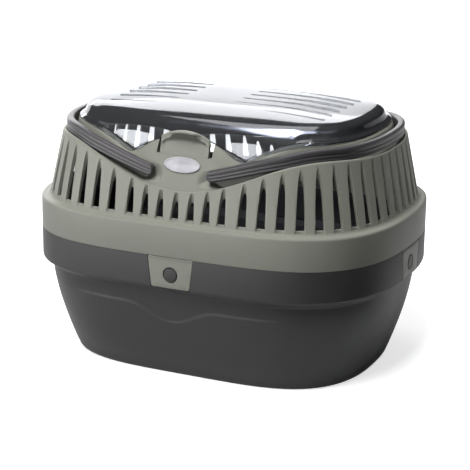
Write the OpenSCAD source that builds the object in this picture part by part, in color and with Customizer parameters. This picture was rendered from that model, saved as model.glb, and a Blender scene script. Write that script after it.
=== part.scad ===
// Small-animal carrier: a tub, a vented cover clipped over it, a clear domed lid
// and two bail handles that lie around the top and swing up to meet over the lid.
// Millimetres. X runs along the length, the front faces -Y, and Z = 0 is the floor.

/* [Body] */
// Length over the rim
body_l = 300; // [270:1:340]
// Width over the rim
body_w = 230; // [210:1:260]
// Squareness of the plan towards the ends (2 gives an ellipse)
end_power = 4; // [3:0.1:6]
// Squareness of the plan towards the front and rear
side_power = 2.5; // [2.2:0.1:4]
// Thickness of the moulded walls
wall = 2; // [1.6:0.1:2.4]

/* [Base tub] */
// Height of the tub up to its rim
tub_h = 103; // [90:1:130]
// Height of the band below the rim
band_h = 25; // [24:1:32]
// How far the band stands out past the tub wall
band_step = 7.4; // [4:0.2:10]
// How far the tub wall draws in from the band down to the floor
tub_draft = 19; // [8:0.5:26]
// Radius of the edge around the floor
floor_round = 4; // [2:0.5:8]
// Height of the spigot that the cover fits over
spigot_h = 5; // [3:0.5:8]

/* [Cover] */
// Height of the skirt that stands on the tub
skirt_h = 25; // [18:1:32]
// Width of the ledge on top of the skirt
ledge_w = 6; // [4:0.5:9]
// How far the vented wall leans in for each millimetre that it rises
wall_lean = 0.2; // [0.12:0.01:0.26]
// Height of the shoulder over the ledge at the front and rear centre
shoulder_low = 22; // [18:1:28]
// Height of the shoulder over the ledge at the ends
shoulder_high = 52.5; // [45:0.5:58]
// How far in from the ends the shoulder is highest
crest_in = 32; // [24:1:40]
// Width of the gutter that the handles lie in
gutter_w = 7.2; // [6.8:0.1:8]
// Depth of the gutter below the shoulder
gutter_d = 2; // [1:0.5:3]
// How far the rim of the opening lies in from the skirt, at the ends
rim_inset_x = 32; // [32:0.5:36]
// How far the rim of the opening lies in from the skirt, front and rear
rim_inset_y = 28; // [28:0.5:30]
// Height of the rim over the ledge along the ends
rim_high = 63.5; // [60:0.5:70]
// Height of the rim over the ledge in the dips beside the front panel
rim_dip = 47; // [42:0.5:52]
// Height that the panel between the dips rises to over the ledge
panel_high = 62; // [58:0.5:66]
// Half the distance between the dips
dip_x = 46.6; // [40:0.2:52]
// How far past a dip the rim reaches its full height
rim_run = 48; // [36:1:56]
// Height over the ledge where the crown between the gutter and the rim turns in, in front
crown_low = 40; // [38:0.5:42]

/* [Vents] */
// Number of short slots in the group at the front and at the rear
short_slots = 7; // [3:2:9]
// Spacing of the short slots
short_pitch = 13.3; // [12:0.1:15]
// Spacing aimed at for the long slots around the ends
long_pitch = 15.8; // [13:0.1:20]
// Width of a short slot at the ledge
short_slot_w = 6.6; // [5:0.2:9]
// Width of a long slot at the ledge
long_slot_w = 7.2; // [6:0.2:10]
// Share of the shoulder height that a slot's groove runs up to
slot_reach = 0.92; // [0.7:0.01:0.92]
// How far a slot's floor leans out for each millimetre that it rises
slot_lean = 0.15; // [0:0.01:0.2]

/* [Clips] */
// Width of a snap clip at its hinge line
clip_top_w = 38; // [30:1:44]
// Width of a snap clip at its free edge
clip_low_w = 32; // [24:1:38]
// Thickness of a snap clip
clip_t = 2.4; // [2:0.1:3]
// Diameter of the round peg that a clip snaps over
peg_d = 11; // [8:0.5:13]
// Height of the peg's centre over the clip's free edge
peg_up = 10.5; // [9:0.5:13]

/* [Lid] */
// Thickness of the clear lid
lid_t = 1.8; // [1.4:0.1:2.4]
// Height of the lid's top edge over the ledge
lid_edge_high = 75; // [71:0.5:78]
// Rise of the dome over the lid's top edge
lid_dome = 5; // [3:0.5:8]
// How far the top edge lies in from the rim, at the ends
lid_bevel_x = 5; // [4:0.5:12]
// How far the top edge lies in from the rim, front and rear
lid_bevel_y = 15; // [12:0.5:24]
// Diameter of the lid's hinge pins
hinge_pin_d = 4; // [3:0.2:5]
// Distance between the inner faces of the two hinge ears
hinge_span = 32; // [24:1:36]

/* [Latch] */
// Width of the latch tongue
tongue_w = 40; // [34:1:44]
// Width of the slit on each side of the tongue
slit_w = 3; // [2:0.2:4]
// Height of the tongue's root over the ledge
tongue_root = 48; // [46:0.5:50]

/* [Handles] */
// Width of a handle, seen from above
handle_w = 6; // [5:0.1:6.4]
// Height of a handle's section
handle_h = 10.4; // [8:0.2:12]
// Distance between the ends of the two handles
handle_gap = 42; // [40.5:0.5:50]
// Distance from a handle's end to its pivot
pivot_setback = 5; // [4:0.5:8]
// Height of the pivots over the ledge
pivot_high = 35; // [33:0.5:38]
// Height that the handle climbs from its pivot to the end of the carrier
handle_climb = 21.4; // [21:0.2:26]
// Diameter of the pivot pins
pivot_d = 6; // [4:0.2:7]

/* [Badge] */
// Length of the plain oval badge
badge_l = 30; // [20:1:34]
// Height of the plain oval badge
badge_h = 12; // [8:0.5:14]

/* [Clearances] */
// Gap between a pivot or hinge pin and its bore, on the radius
pin_gap = 0.08; // [0.04:0.01:0.1]
// Gap between parts that move past each other
run_gap = 0.4; // [0.3:0.05:0.6]
// Gap between parts that rest next to each other
seat_gap = 0.3; // [0.2:0.05:0.4]
// Gap between the cover's skirt and the tub's spigot
spigot_gap = 0.5; // [0.3:0.1:0.8]
// Gap between a clip's hole and its peg, on the radius
peg_gap = 0.7; // [0.6:0.05:0.9]

/* [Hidden] */

// Colours of the plastics
dark_grey = [0.24, 0.24, 0.25];
sage_grey = [0.56, 0.57, 0.53];
clear_tint = [0.86, 0.90, 0.93];
handle_grey = [0.21, 0.20, 0.21];
silver = [0.75, 0.75, 0.77];

// Stations around the plan, which must divide by four
stations = 96;
// Heights that the other pieces are set from
band_z = tub_h - band_h;
chamfer_h = 5;
ledge_z = tub_h + skirt_h;
low_z = ledge_z + shoulder_low;
high_z = ledge_z + shoulder_high;
dip_z = ledge_z + rim_dip;
rim_z = ledge_z + rim_high;
panel_z = ledge_z + panel_high;
lid_edge_z = ledge_z + lid_edge_high;
root_z = ledge_z + tongue_root;
pivot_z = ledge_z + pivot_high;
crest_x = body_l / 2 - crest_in;
// The shoulder's rounded edge, measured across
shoulder_edge = 1.2;

// ---- Plan outline -------------------------------------------------------------

// A point on the plan, drawn in by ix at the ends and iy front and rear
function plan_xy(ix, iy, t) = [
    (body_l / 2 - ix) * sign(cos(t)) * pow(abs(cos(t)), 2 / end_power),
    (body_w / 2 - iy) * sign(sin(t)) * pow(abs(sin(t)), 2 / side_power)
];

// Running length along one quarter of the plan, from the front centre to the end
quarter_steps = 120;
quarter_t = [for (i = [0:quarter_steps]) 90 * (1 - pow(i / quarter_steps, 2))];
quarter_p = [for (t = quarter_t) plan_xy(0, 0, t)];
function run_lengths(p, i = 0, s = 0, out = []) =
    i == len(p) - 1 ? concat(out, [s])
    : run_lengths(p, i + 1, s + norm(p[i + 1] - p[i]), concat(out, [s]));
quarter_s = run_lengths(quarter_p);
quarter = quarter_s[quarter_steps];
length_to_t = [for (i = [0:quarter_steps]) [quarter_s[i], quarter_t[i]]];
function quarter_angle(s) = lookup(s, length_to_t);

// Angle on the plan at running length s: front centre, right end, rear, left end
function angle_at(s) =
    s <= quarter ? -quarter_angle(s)
    : s <= 2 * quarter ? quarter_angle(2 * quarter - s)
    : s <= 3 * quarter ? 180 - quarter_angle(s - 2 * quarter)
    : 180 + quarter_angle(4 * quarter - s);
station_t = [for (i = [0:stations - 1]) angle_at(4 * quarter * i / stations)];

// ---- Heights that change around the plan --------------------------------------

// Height of the shoulder at distance x from the centre
function shoulder_z(x) = low_z + (high_z - low_z) * pow(sin(90 * abs(x) / crest_x), 2);

// Height of the opening's rim at distance x from the centre
function rim_top(x) =
    abs(x) < dip_x ? dip_z + (panel_z - dip_z) * cos(90 * abs(x) / dip_x)
    : dip_z + (rim_z - dip_z) * sin(90 * min((abs(x) - dip_x) / rim_run, 1));

// Height where the crown turns in towards the rim, and how far in from the gutter
crown_edge = 3;
function crown_share(x) = sin(90 * min(max((abs(x) - dip_x) / rim_run, 0), 1));
function crown_z(x) =
    ledge_z + crown_low + (rim_high - crown_edge - crown_low) * crown_share(x);
function crown_off(x) = gutter_in + 0.4 + 2 * crown_share(x);

// How far the vented wall is drawn in at height z
function wall_inset(z) = ledge_w + wall_lean * (z - ledge_z);

// Shoulder height at plan angle t, worked out at the middle of the wall
function shoulder_at(t) = shoulder_z(plan_xy(wall_inset(low_z), wall_inset(low_z), t).x);

// A point past the shoulder: off further in, and up higher
function shoulder_point(t, off, up) =
    let (z = shoulder_at(t), i = wall_inset(z) + off, p = plan_xy(i, i, t)) [p.x, p.y, z + up];

function flat_ring(ix, iy, z) =
    [for (t = station_t) let (p = plan_xy(ix, iy, t)) [p.x, p.y, z]];
function shoulder_ring(off, up) = [for (t = station_t) shoulder_point(t, off, up)];
function crown_ring(off, up) = [
    for (t = station_t)
        let (
            x = shoulder_point(t, gutter_in, 0).x,
            p = shoulder_point(t, crown_off(x) + off, 0)
        )
        [p.x, p.y, crown_z(x) + up]
];
function rim_ring(ix, iy, up, least = 0) = [
    for (t = station_t) let (p = plan_xy(ix, iy, t)) [p.x, p.y, max(rim_top(p.x) + up, least)]
];

// ---- Skins over rings of points -----------------------------------------------

// Two triangles for each step between neighbouring rings of n points
function band_faces(n, a, b) = [
    for (i = [0:n - 1])
        let (j = (i + 1) % n)
        each [[a * n + i, b * n + i, a * n + j], [a * n + j, b * n + i, b * n + j]]
];

// A tube around the opening: rings run up the outside and back down the inside
module ring_shell(rings) {
    n = len(rings[0]);
    m = len(rings);
    polyhedron(
        points = [for (r = rings) each r],
        faces = [for (k = [0:m - 1]) each band_faces(n, k, (k + 1) % m)]
    );
}

// A bowl or a bar: rings with a flat cap on the first and on the last
module capped_loft(rings) {
    n = len(rings[0]);
    m = len(rings);
    polyhedron(
        points = [for (r = rings) each r],
        faces = concat(
            [for (k = [0:m - 2]) each band_faces(n, k, k + 1)],
            [for (i = [1:n - 2]) [0, i, i + 1]],
            [for (i = [1:n - 2]) [(m - 1) * n, (m - 1) * n + i + 1, (m - 1) * n + i]]
        )
    );
}

// ---- The four clip places -----------------------------------------------------

// Places a child drawn for the front clip at the front, right, rear or left
module at_side(side) {
    // The plan is turned a quarter for the ends, whose clips stand further out
    out = side % 2 == 0 ? body_w / 2 : body_l / 2;
    rotate([0, 0, 90 * side])
        translate([0, -out, 0])
            children();
}

clip_low_z = band_z + 0.8;
clip_high_z = tub_h - seat_gap;
peg_z = clip_low_z + peg_up;
pocket_d = clip_t + seat_gap;
peg_shank_d = peg_d * 0.6;
// How far a peg's shank shows past the plate, inside the tub
peg_past = 0.6;
// Thickness of the plate behind a pocket, and how far it runs past the pocket's sides
backing_t = wall;
backing_side = 3;

// A clip's outline, grown by gap, standing upright and depth deep from the front
module clip_outline(gap, depth) {
    translate([0, depth, 0])
        rotate([90, 0, 0])
            linear_extrude(height = depth)
                polygon([
                    [-clip_low_w / 2 - gap, clip_low_z - gap],
                    [clip_low_w / 2 + gap, clip_low_z - gap],
                    [clip_top_w / 2 + gap, clip_high_z + gap],
                    [-clip_top_w / 2 - gap, clip_high_z + gap]
                ]);
}

// A round bar along Y from y0 to y1 at height z
module y_rod(d, x, z, y0, y1) {
    translate([x, y1, z])
        rotate([90, 0, 0])
            cylinder(h = y1 - y0, d = d, $fn = 48);
}

// A round bar along X from x0 to x1
module x_rod(d, x0, x1, y, z) {
    translate([x0, y, z])
        rotate([0, 90, 0])
            cylinder(h = x1 - x0, d = d, $fn = 48);
}

// ---- Base tub -----------------------------------------------------------------

function tub_inset(z) = band_step + tub_draft * pow(1 - z / (band_z - chamfer_h), 1.5);
tub_levels = [10, 20, 35, 55];
spigot_in = wall + spigot_gap;

module base_tub() {
    top_z = band_z - chamfer_h;
    outer = concat(
        [flat_ring(tub_inset(0) + floor_round, tub_inset(0) + floor_round, 0)],
        [flat_ring(tub_inset(0) + floor_round * 0.3, tub_inset(0) + floor_round * 0.3,
            floor_round * 0.3)],
        [flat_ring(tub_inset(floor_round), tub_inset(floor_round), floor_round)],
        [for (z = tub_levels) flat_ring(tub_inset(z), tub_inset(z), z)],
        [flat_ring(band_step, band_step, top_z)],
        [flat_ring(0.5, 0.5, band_z)],
        [flat_ring(0, 0, tub_h)]
    );
    spigot = [
        flat_ring(spigot_in, spigot_in, tub_h),
        flat_ring(spigot_in, spigot_in, tub_h + spigot_h),
        flat_ring(spigot_in + wall, spigot_in + wall, tub_h + spigot_h),
        flat_ring(spigot_in + wall, spigot_in + wall, tub_h - wall),
        flat_ring(wall + 0.5, wall + 0.5, tub_h - 3 * wall)
    ];
    inner = concat(
        [flat_ring(wall + 0.5, wall + 0.5, band_z + wall / 2)],
        [flat_ring(band_step + wall, band_step + wall, top_z + wall / 2)],
        [for (i = [3:-1:0]) flat_ring(tub_inset(tub_levels[i]) + wall,
            tub_inset(tub_levels[i]) + wall, tub_levels[i] + wall / 2)],
        [flat_ring(tub_inset(0) + wall + floor_round / 2, tub_inset(0) + wall + floor_round / 2,
            wall)]
    );
    color(dark_grey)
        difference() {
            union() {
                capped_loft(concat(outer, spigot, inner));
                // A plate behind each clip pocket carries the pocket and its peg
                for (side = [0:3])
                    at_side(side)
                        translate([-clip_top_w / 2 - backing_side, pocket_d / 2, band_z])
                            cube([clip_top_w + 2 * backing_side, pocket_d / 2 + backing_t,
                                band_h]);
            }
            for (side = [0:3])
                at_side(side) {
                    translate([0, -1, 0])
                        clip_outline(seat_gap, pocket_d + 1);
                    y_rod(peg_shank_d, 0, peg_z, 0, pocket_d + backing_t + 1);
                }
        }
}

// A peg: its head fills the clip's hole and its shank is pressed through the tub
module snap_peg(side) {
    color(dark_grey)
        at_side(side)
            union() {
                y_rod(peg_d, 0, peg_z, 0, pocket_d);
                y_rod(peg_shank_d, 0, peg_z, pocket_d - 0.5, pocket_d + backing_t + peg_past);
            }
}

// ---- Vented cover -------------------------------------------------------------

gutter_edge = 1.8;
gutter_in = gutter_edge + gutter_w;
hinge_y = body_w / 2 - rim_inset_y - 0.5;
hinge_z = panel_z - 2;
ear_t = 5;
ear_d = hinge_pin_d + 3.2;
notch_half = hinge_span / 2 + ear_t + 5;
notch_z = hinge_z - ear_d / 2 - 2;

// The latch tongue's planes: its inner face, its scooped face and its lip
tongue_in = -body_w / 2 + rim_inset_y - 1.2;
scoop_y = tongue_in - 2.2;
lip_y = scoop_y - 2;

// The front pad's face leans back from its foot to the plane of the tongue's lip
pad_foot_y = -body_w / 2 + wall_inset(low_z) + 3;
function pad_y(z) = pad_foot_y + (z - low_z) * (lip_y - pad_foot_y) / (root_z - low_z);

// The closed section of the cover, carried around the plan
module cover_shell() {
    ring_shell([
        flat_ring(0, 0, tub_h),
        flat_ring(0, 0, ledge_z - 1.4),
        flat_ring(1.4, 1.4, ledge_z),
        flat_ring(ledge_w, ledge_w, ledge_z),
        shoulder_ring(-wall_lean * shoulder_edge, -shoulder_edge),
        shoulder_ring(shoulder_edge, 0),
        shoulder_ring(gutter_edge, -gutter_d),
        shoulder_ring(gutter_in, -gutter_d),
        crown_ring(0, 0),
        rim_ring(rim_inset_x, rim_inset_y, 0),
        rim_ring(rim_inset_x + wall, rim_inset_y + wall, 0),
        crown_ring(wall, -wall / 2),
        shoulder_ring(gutter_in + wall, -gutter_d - wall),
        shoulder_ring(gutter_edge, -gutter_d - wall),
        flat_ring(ledge_w + wall, ledge_w + wall, ledge_z - wall),
        flat_ring(wall, wall, ledge_z - wall - 1),
        flat_ring(wall, wall, tub_h)
    ]);
}

// A cutter with a squarish oval plan. Its floor leans out until it meets the wall.
module slot_cutter(s, w) {
    sides = 12;
    oval_power = 3;
    sill = 0.4;
    t = angle_at(s);
    here = plan_xy(ledge_w, ledge_w, t);
    next = plan_xy(ledge_w, ledge_w, angle_at(s + 1));
    turn = atan2(next.y - here.y, next.x - here.x);
    depth = (wall_lean + slot_lean) * slot_reach * (shoulder_at(t) - ledge_z);
    back = depth * 0.3;
    translate([here.x, here.y, ledge_z + sill])
        rotate([atan(slot_lean), 0, turn])
            linear_extrude(height = shoulder_high)
                polygon([for (i = [0:sides - 1])
                    let (c = cos(360 * i / sides), d = sin(360 * i / sides))
                    [w / 2 * sign(c) * pow(abs(c), 2 / oval_power),
                        (depth + back) * sign(d) * pow(abs(d), 2 / oval_power) - back]]);
}

// Running lengths of the slots on one quarter, measured from the front centre
short_reach = short_pitch * (short_slots - 1) / 2;
long_start = short_reach + (short_pitch + long_pitch) * 0.58;
long_count = round((quarter - long_start) / long_pitch);
long_step = (quarter - long_start) / long_count;

module slot_cutters() {
    for (i = [0:short_slots - 1])
        let (s = short_pitch * i - short_reach) {
            slot_cutter(s < 0 ? s + 4 * quarter : s, short_slot_w);
            slot_cutter(s + 2 * quarter, short_slot_w);
        }
    // The last long slot of each quarter, at the end, is shared with the next quarter
    for (i = [0:long_count])
        let (s = long_start + long_step * i) {
            slot_cutter(s, long_slot_w);
            slot_cutter(2 * quarter + s, long_slot_w);
            if (i < long_count) {
                slot_cutter(2 * quarter - s, long_slot_w);
                slot_cutter(4 * quarter - s, long_slot_w);
            }
        }
}

// The raised pad between the handles' ends, which carries the badge and the tongue.
// It narrows upwards to leave room for the raised handles.
module front_pad() {
    base_z = low_z - gutter_d - wall / 2;
    intersection() {
        translate([-tongue_w / 2, 0, 0])
            rotate([90, 0, 90])
                linear_extrude(height = tongue_w)
                    polygon([
                        [pad_foot_y, base_z],
                        [pad_foot_y, low_z],
                        [pad_y(root_z), root_z],
                        [pad_y(root_z) + 1.5 * wall, root_z],
                        [-body_w / 2 + wall_inset(low_z) + gutter_in + wall / 2, low_z]
                    ]);
        rotate([90, 0, 0])
            linear_extrude(height = body_w / 2)
                polygon([
                    [-tongue_w / 2, base_z],
                    [tongue_w / 2, base_z],
                    [tongue_w / 2, pivot_z],
                    [pad_top_half, root_z],
                    [-pad_top_half, root_z],
                    [-tongue_w / 2, pivot_z]
                ]);
    }
}

// The hollow behind the pad, open to the cabin
module pad_hollow() {
    under = low_z - gutter_d - wall - 1;
    back_y = -body_w / 2 + rim_inset_y + wall + 1;
    half = pad_top_half - wall;
    translate([-half, 0, 0])
        rotate([90, 0, 90])
            linear_extrude(height = 2 * half)
                polygon([
                    [pad_y(low_z) + wall, under],
                    [pad_y(low_z) + wall, low_z],
                    [pad_y(root_z) + wall, root_z - wall],
                    [back_y, root_z - wall],
                    [back_y, under]
                ]);
}

module hinge_ear(x0) {
    x_rod(ear_d, x0, x0 + ear_t, hinge_y, hinge_z);
    translate([x0, hinge_y - ear_d * 0.45, notch_z - 2 * wall])
        cube([ear_t, ear_d * 0.9, hinge_z - notch_z + 2 * wall]);
}

// Pivots of the handles, and half the pad's width at its top
pivot_x = handle_gap / 2 + pivot_setback;
pad_top_half = 15.4;

module top_cover() {
    big = 2 * wall + gutter_w;
    color(sage_grey)
        difference() {
            union() {
                difference() {
                    cover_shell();
                    slot_cutters();
                    // Window and slits around the latch tongue
                    translate([-tongue_w / 2 - slit_w, -body_w / 2 + rim_inset_y - big, root_z])
                        cube([tongue_w + 2 * slit_w, 2 * big, panel_z]);
                    // Notch in the rear rim for the hinge
                    translate([-notch_half, hinge_y - big, notch_z])
                        cube([2 * notch_half, 2 * big, panel_z]);
                }
                front_pad();
                hinge_ear(-hinge_span / 2 - ear_t);
                hinge_ear(hinge_span / 2);
            }
            pad_hollow();
            // Bores for the lid's hinge pins and for the handles' pivot pins
            x_rod(hinge_pin_d + 2 * pin_gap, -hinge_span / 2 - ear_t - 1,
                hinge_span / 2 + ear_t + 1, hinge_y, hinge_z);
            for (side = [-1, 1]) {
                y_rod(pivot_d + 2 * pin_gap, side * pivot_x, pivot_z, -body_w / 2,
                    -body_w / 4);
                y_rod(pivot_d + 2 * pin_gap, side * pivot_x, pivot_z, body_w / 4, body_w / 2);
            }
        }
}

module clip(side) {
    color(sage_grey)
        at_side(side)
            difference() {
                clip_outline(0, clip_t);
                y_rod(peg_d + 2 * peg_gap, 0, peg_z, -1, clip_t + 1);
            }
}

// ---- Latch tongue -------------------------------------------------------------

// The tongue stands a little over the panel, and its top edge is arched
tongue_top = panel_z + 1;
tongue_arch = 4.5;
tongue_r = (pow(tongue_w / 2, 2) + pow(tongue_arch, 2)) / (2 * tongue_arch);
tongue_low = root_z + seat_gap;
// Thickness of the lip, depth of the barbs, and height where the tongue's barb starts
lip_t = 2.4;
barb = 1.2;
barb_z = (tongue_low + tongue_top) / 2;

// The tongue: its face is scooped out under a lip for a finger, and a barb behind
// holds the lid's catch down
module latch_tongue() {
    color(sage_grey)
        intersection() {
            translate([-tongue_w / 2, 0, 0])
                rotate([90, 0, 90])
                    linear_extrude(height = tongue_w)
                        polygon([
                            [pad_y(root_z), tongue_low],
                            [(pad_y(root_z) + scoop_y) / 2, tongue_low + 1.5 * wall],
                            [scoop_y, tongue_low + 3 * wall],
                            [scoop_y, tongue_top - 1.5 * lip_t],
                            [lip_y, tongue_top - lip_t],
                            [lip_y, tongue_top + 1],
                            [tongue_in, tongue_top + 1],
                            [tongue_in, barb_z + 2 * barb],
                            [tongue_in + barb, barb_z + 1.5 * barb],
                            [tongue_in + barb, barb_z + barb],
                            [tongue_in, barb_z],
                            [pad_y(root_z) + wall, tongue_low]
                        ]);
            y_rod(2 * tongue_r, 0, tongue_top - tongue_r, -body_w / 2, 0);
        }
}

// ---- Clear lid ----------------------------------------------------------------

// Width of the lid's catch
catch_w = tongue_w - 8;
// Height that the lid's upright wall reaches before it slopes in
lid_wall_z = rim_z + 1;
// The dome from its edge inwards: share of the way to the middle, and of its rise
dome_steps = [[0.06, 0.3], [0.3, 0.75], [0.62, 1]];

// A ring on the dome at one of its steps, dropped by down
function dome_ring(ex, ey, d, down) =
    flat_ring(ex + d[0] * (body_l / 2 - ex), ey + d[0] * (body_w / 2 - ey),
        lid_edge_z - down + d[1] * lid_dome);

// The lid's shell: dome, sloped sides and the upright wall that stands on the rim
module lid_dome_shell() {
    ex = rim_inset_x + lid_bevel_x;
    ey = rim_inset_y + lid_bevel_y;
    // The wall's outer face at its foot and where it starts to slope in
    foot = seat_gap;
    neck = 2.2;
    lift = 2 * seat_gap;
    capped_loft(concat(
        [for (k = [2:-1:0]) dome_ring(ex, ey, dome_steps[k], lid_t)],
        [
            flat_ring(ex + lid_t, ey + lid_t, lid_edge_z - lid_t),
            rim_ring(rim_inset_x + neck + lid_t, rim_inset_y + neck + lid_t,
                lift + lid_t, lid_wall_z - lid_t / 2),
            rim_ring(rim_inset_x + foot + lid_t, rim_inset_y + foot + lid_t, lift),
            rim_ring(rim_inset_x + foot, rim_inset_y + foot, lift),
            rim_ring(rim_inset_x + neck, rim_inset_y + neck, lift + 1, lid_wall_z),
            flat_ring(ex, ey, lid_edge_z)
        ],
        [for (d = dome_steps) dome_ring(ex, ey, d, 0)]
    ));
}

// The catch: a tab that hangs from the lid's front wall behind the tongue, with a
// barb that snaps under the tongue's barb
module lid_catch() {
    face_y = -body_w / 2 + rim_inset_y + seat_gap;
    tab_top = panel_z + 2 * seat_gap + lid_t / 3;
    hook_z = barb_z - run_gap;
    translate([-catch_w / 2, 0, 0])
        rotate([90, 0, 90])
            linear_extrude(height = catch_w)
                polygon([
                    [face_y + lid_t, hook_z - 4 * barb],
                    [face_y, hook_z - 4 * barb],
                    [tongue_in + run_gap, hook_z - barb],
                    [tongue_in + run_gap, hook_z],
                    [face_y, hook_z],
                    [face_y, tab_top],
                    [face_y + lid_t, tab_top]
                ]);
}

module lid() {
    reach = hinge_span / 2 + ear_t;
    barrel_half = hinge_span / 2 - run_gap;
    color(clear_tint)
        union() {
            difference() {
                union() {
                    lid_dome_shell();
                    lid_catch();
                }
                // Room for the cover's two ears and for the hinge notch between them
                for (side = [-1, 1])
                    translate([side * (hinge_span + ear_t) / 2 - ear_t / 2 - run_gap,
                            hinge_y - ear_d / 2 - 1, notch_z])
                        cube([ear_t + 2 * run_gap, ear_d + 2, ear_d / 2 + hinge_z - notch_z
                            + 1]);
            }
            // Barrel between the ears, on a web from the rear wall, with a pin into each
            x_rod(ear_d, -barrel_half, barrel_half, hinge_y, hinge_z);
            translate([-barrel_half, hinge_y - lid_t, hinge_z])
                cube([2 * barrel_half, lid_t, lid_wall_z - hinge_z]);
            x_rod(hinge_pin_d, -reach, reach, hinge_y, hinge_z);
        }
}

// ---- Bail handles -------------------------------------------------------------

handle_off = gutter_edge + (gutter_w - handle_w) / 2;
handle_end_x = body_l / 2 - wall_inset(high_z) - handle_off - handle_w / 2;
handle_steps = 44;
bevel = 1.8;

// Height of the handle's middle at distance x from the centre
function handle_rise(x) = pivot_z + handle_climb
    * sin(90 * min(max((abs(x) - pivot_x) / (handle_end_x - pivot_x), 0), 1));
// The same at plan angle t, and always clear of the gutter's floor
function handle_z(t) = max(handle_rise(shoulder_point(t, handle_off, 0).x),
    shoulder_at(t) - gutter_d + run_gap + handle_h / 2);

// One section across the handle: bevelled corners, and its long sides upright
function handle_section(t) =
    let (
        z = handle_z(t),
        a = handle_h / 2,
        b = a - bevel,
        w = handle_w
    )
    [for (c = [[0, -b], [bevel, -a], [w - bevel, -a], [w, -b],
            [w, b], [w - bevel, a], [bevel, a], [0, b]])
        let (p = shoulder_point(t, handle_off + c[0], 0)) [p.x, p.y, z + c[1]]];

// Rounds a handle's end about its pivot, so that it turns clear of the front pad
module handle_end_cut() {
    end_r = pivot_x - tongue_w / 2 - run_gap;
    difference() {
        translate([0, -body_w / 2, pivot_z - handle_h])
            cube([pivot_x, body_w, 2 * handle_h]);
        y_rod(2 * end_r, pivot_x, pivot_z, -body_w / 2 - 1, body_w / 2 + 1);
    }
}

module handle(mirrored) {
    start = handle_gap / 2;
    span = 2 * quarter - 2 * start;
    inner_y = -body_w / 2 + wall_inset(shoulder_z(pivot_x)) + handle_off + handle_w;
    pin_end_y = -body_w / 2 + wall_inset(low_z) + gutter_in + 2 * wall;
    color(handle_grey)
        mirror([mirrored, 0, 0])
            union() {
                difference() {
                    capped_loft([for (i = [0:handle_steps])
                        handle_section(angle_at(start + span * i / handle_steps))]);
                    handle_end_cut();
                }
                for (side = [0, 1])
                    mirror([0, side, 0])
                        y_rod(pivot_d, pivot_x, pivot_z, inner_y - 2, pin_end_y);
            }
}

// ---- Badge --------------------------------------------------------------------

module badge() {
    points = 32;
    thick = 1.2;
    z = (root_z + low_z) / 2 + 5;
    lean = atan2(pad_y(root_z) - pad_y(low_z), root_z - low_z);
    color(silver)
        translate([0, pad_y(z), z])
            rotate([90 - lean, 0, 0])
                linear_extrude(height = thick)
                    polygon([for (i = [0:points - 1])
                        [badge_l / 2 * cos(360 * i / points), badge_h / 2 * sin(360 * i / points)]]);
}

base_tub();
snap_peg(0);  // snap_peg_front
snap_peg(1);  // snap_peg_right
snap_peg(2);  // snap_peg_rear
snap_peg(3);  // snap_peg_left
top_cover();
clip(0);  // clip_front
clip(1);  // clip_right
clip(2);  // clip_rear
clip(3);  // clip_left
latch_tongue();
lid();
handle(1);  // handle_left
handle(0);  // handle_right
badge();
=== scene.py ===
import math

import bmesh
import bpy
import numpy as np
from mathutils import Matrix, Vector


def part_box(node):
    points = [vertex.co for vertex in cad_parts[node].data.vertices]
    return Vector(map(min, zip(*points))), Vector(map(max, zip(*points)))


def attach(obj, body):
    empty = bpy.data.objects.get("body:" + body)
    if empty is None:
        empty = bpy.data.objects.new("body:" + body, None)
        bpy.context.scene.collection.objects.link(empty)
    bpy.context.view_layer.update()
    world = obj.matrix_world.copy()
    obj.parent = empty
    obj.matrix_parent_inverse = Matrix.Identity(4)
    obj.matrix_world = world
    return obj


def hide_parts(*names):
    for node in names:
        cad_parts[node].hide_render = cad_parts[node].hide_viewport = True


# %% [markdown]
# The plastic pet keeper, piece by piece. The real one is an injection-moulded tub with a
# vented cover clipped over it, a clear lid in the cover's opening and two bail handles
# lying round the top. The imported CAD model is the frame: every piece below is made in its
# place, and its sizes are read from the frame or repeat the CAD's named sizes in mm.
# Blender works in metres, so sizes stay in mm up to the last step, where MM turns them.

# %% Load the frame
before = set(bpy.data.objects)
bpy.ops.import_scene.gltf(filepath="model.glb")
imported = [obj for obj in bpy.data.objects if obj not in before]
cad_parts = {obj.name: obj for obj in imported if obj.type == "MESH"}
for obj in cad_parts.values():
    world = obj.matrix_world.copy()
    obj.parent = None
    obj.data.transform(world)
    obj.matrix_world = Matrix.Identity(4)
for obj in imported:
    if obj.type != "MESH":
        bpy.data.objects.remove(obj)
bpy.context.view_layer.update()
MM = 0.001


def box_mm(node):
    low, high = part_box(node)
    return np.array(low) / MM, np.array(high) / MM


cover_low, cover_high = box_mm("top_cover")
body_l = cover_high[0] - cover_low[0]
body_w = cover_high[1] - cover_low[1]
tub_h = cover_low[2]
print("plan", body_l, body_w, "parting line at", tub_h)

# %% [markdown]
# The heights count up from the parting line between tub and cover, which the frame gives.
# Writing them as sums keeps every piece in step: move the ledge and all above it moves.

# %% Sizes that the CAD model names (mm)
wall = 2.0
band_z = tub_h - 25
chamfer_h = 5
ledge_z = tub_h + 25
ledge_w = 6
wall_lean = 0.2
low_z = ledge_z + 23.2
pad_low_z = ledge_z + 22
high_z = ledge_z + 52.5
dip_z = ledge_z + 47
rim_z = ledge_z + 63.5
panel_z = ledge_z + 62
root_z = ledge_z + 48
pivot_z = ledge_z + 35
crest_x = body_l / 2 - 32
rim_x, rim_y = 32, 28
dip_x, rim_run = 46.6, 48
gutter_edge, gutter_w, gutter_d = 1.8, 7.2, 2
crown_low, crown_edge = 40, 3
gutter_in = gutter_edge + gutter_w
pivot_x = 26
lip_y = -body_w / 2 + 22.6
pad_foot_y = -body_w / 2 + 13.4
print("ledge at", ledge_z, "rim at", rim_z, "pivots at", pivot_z)

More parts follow.
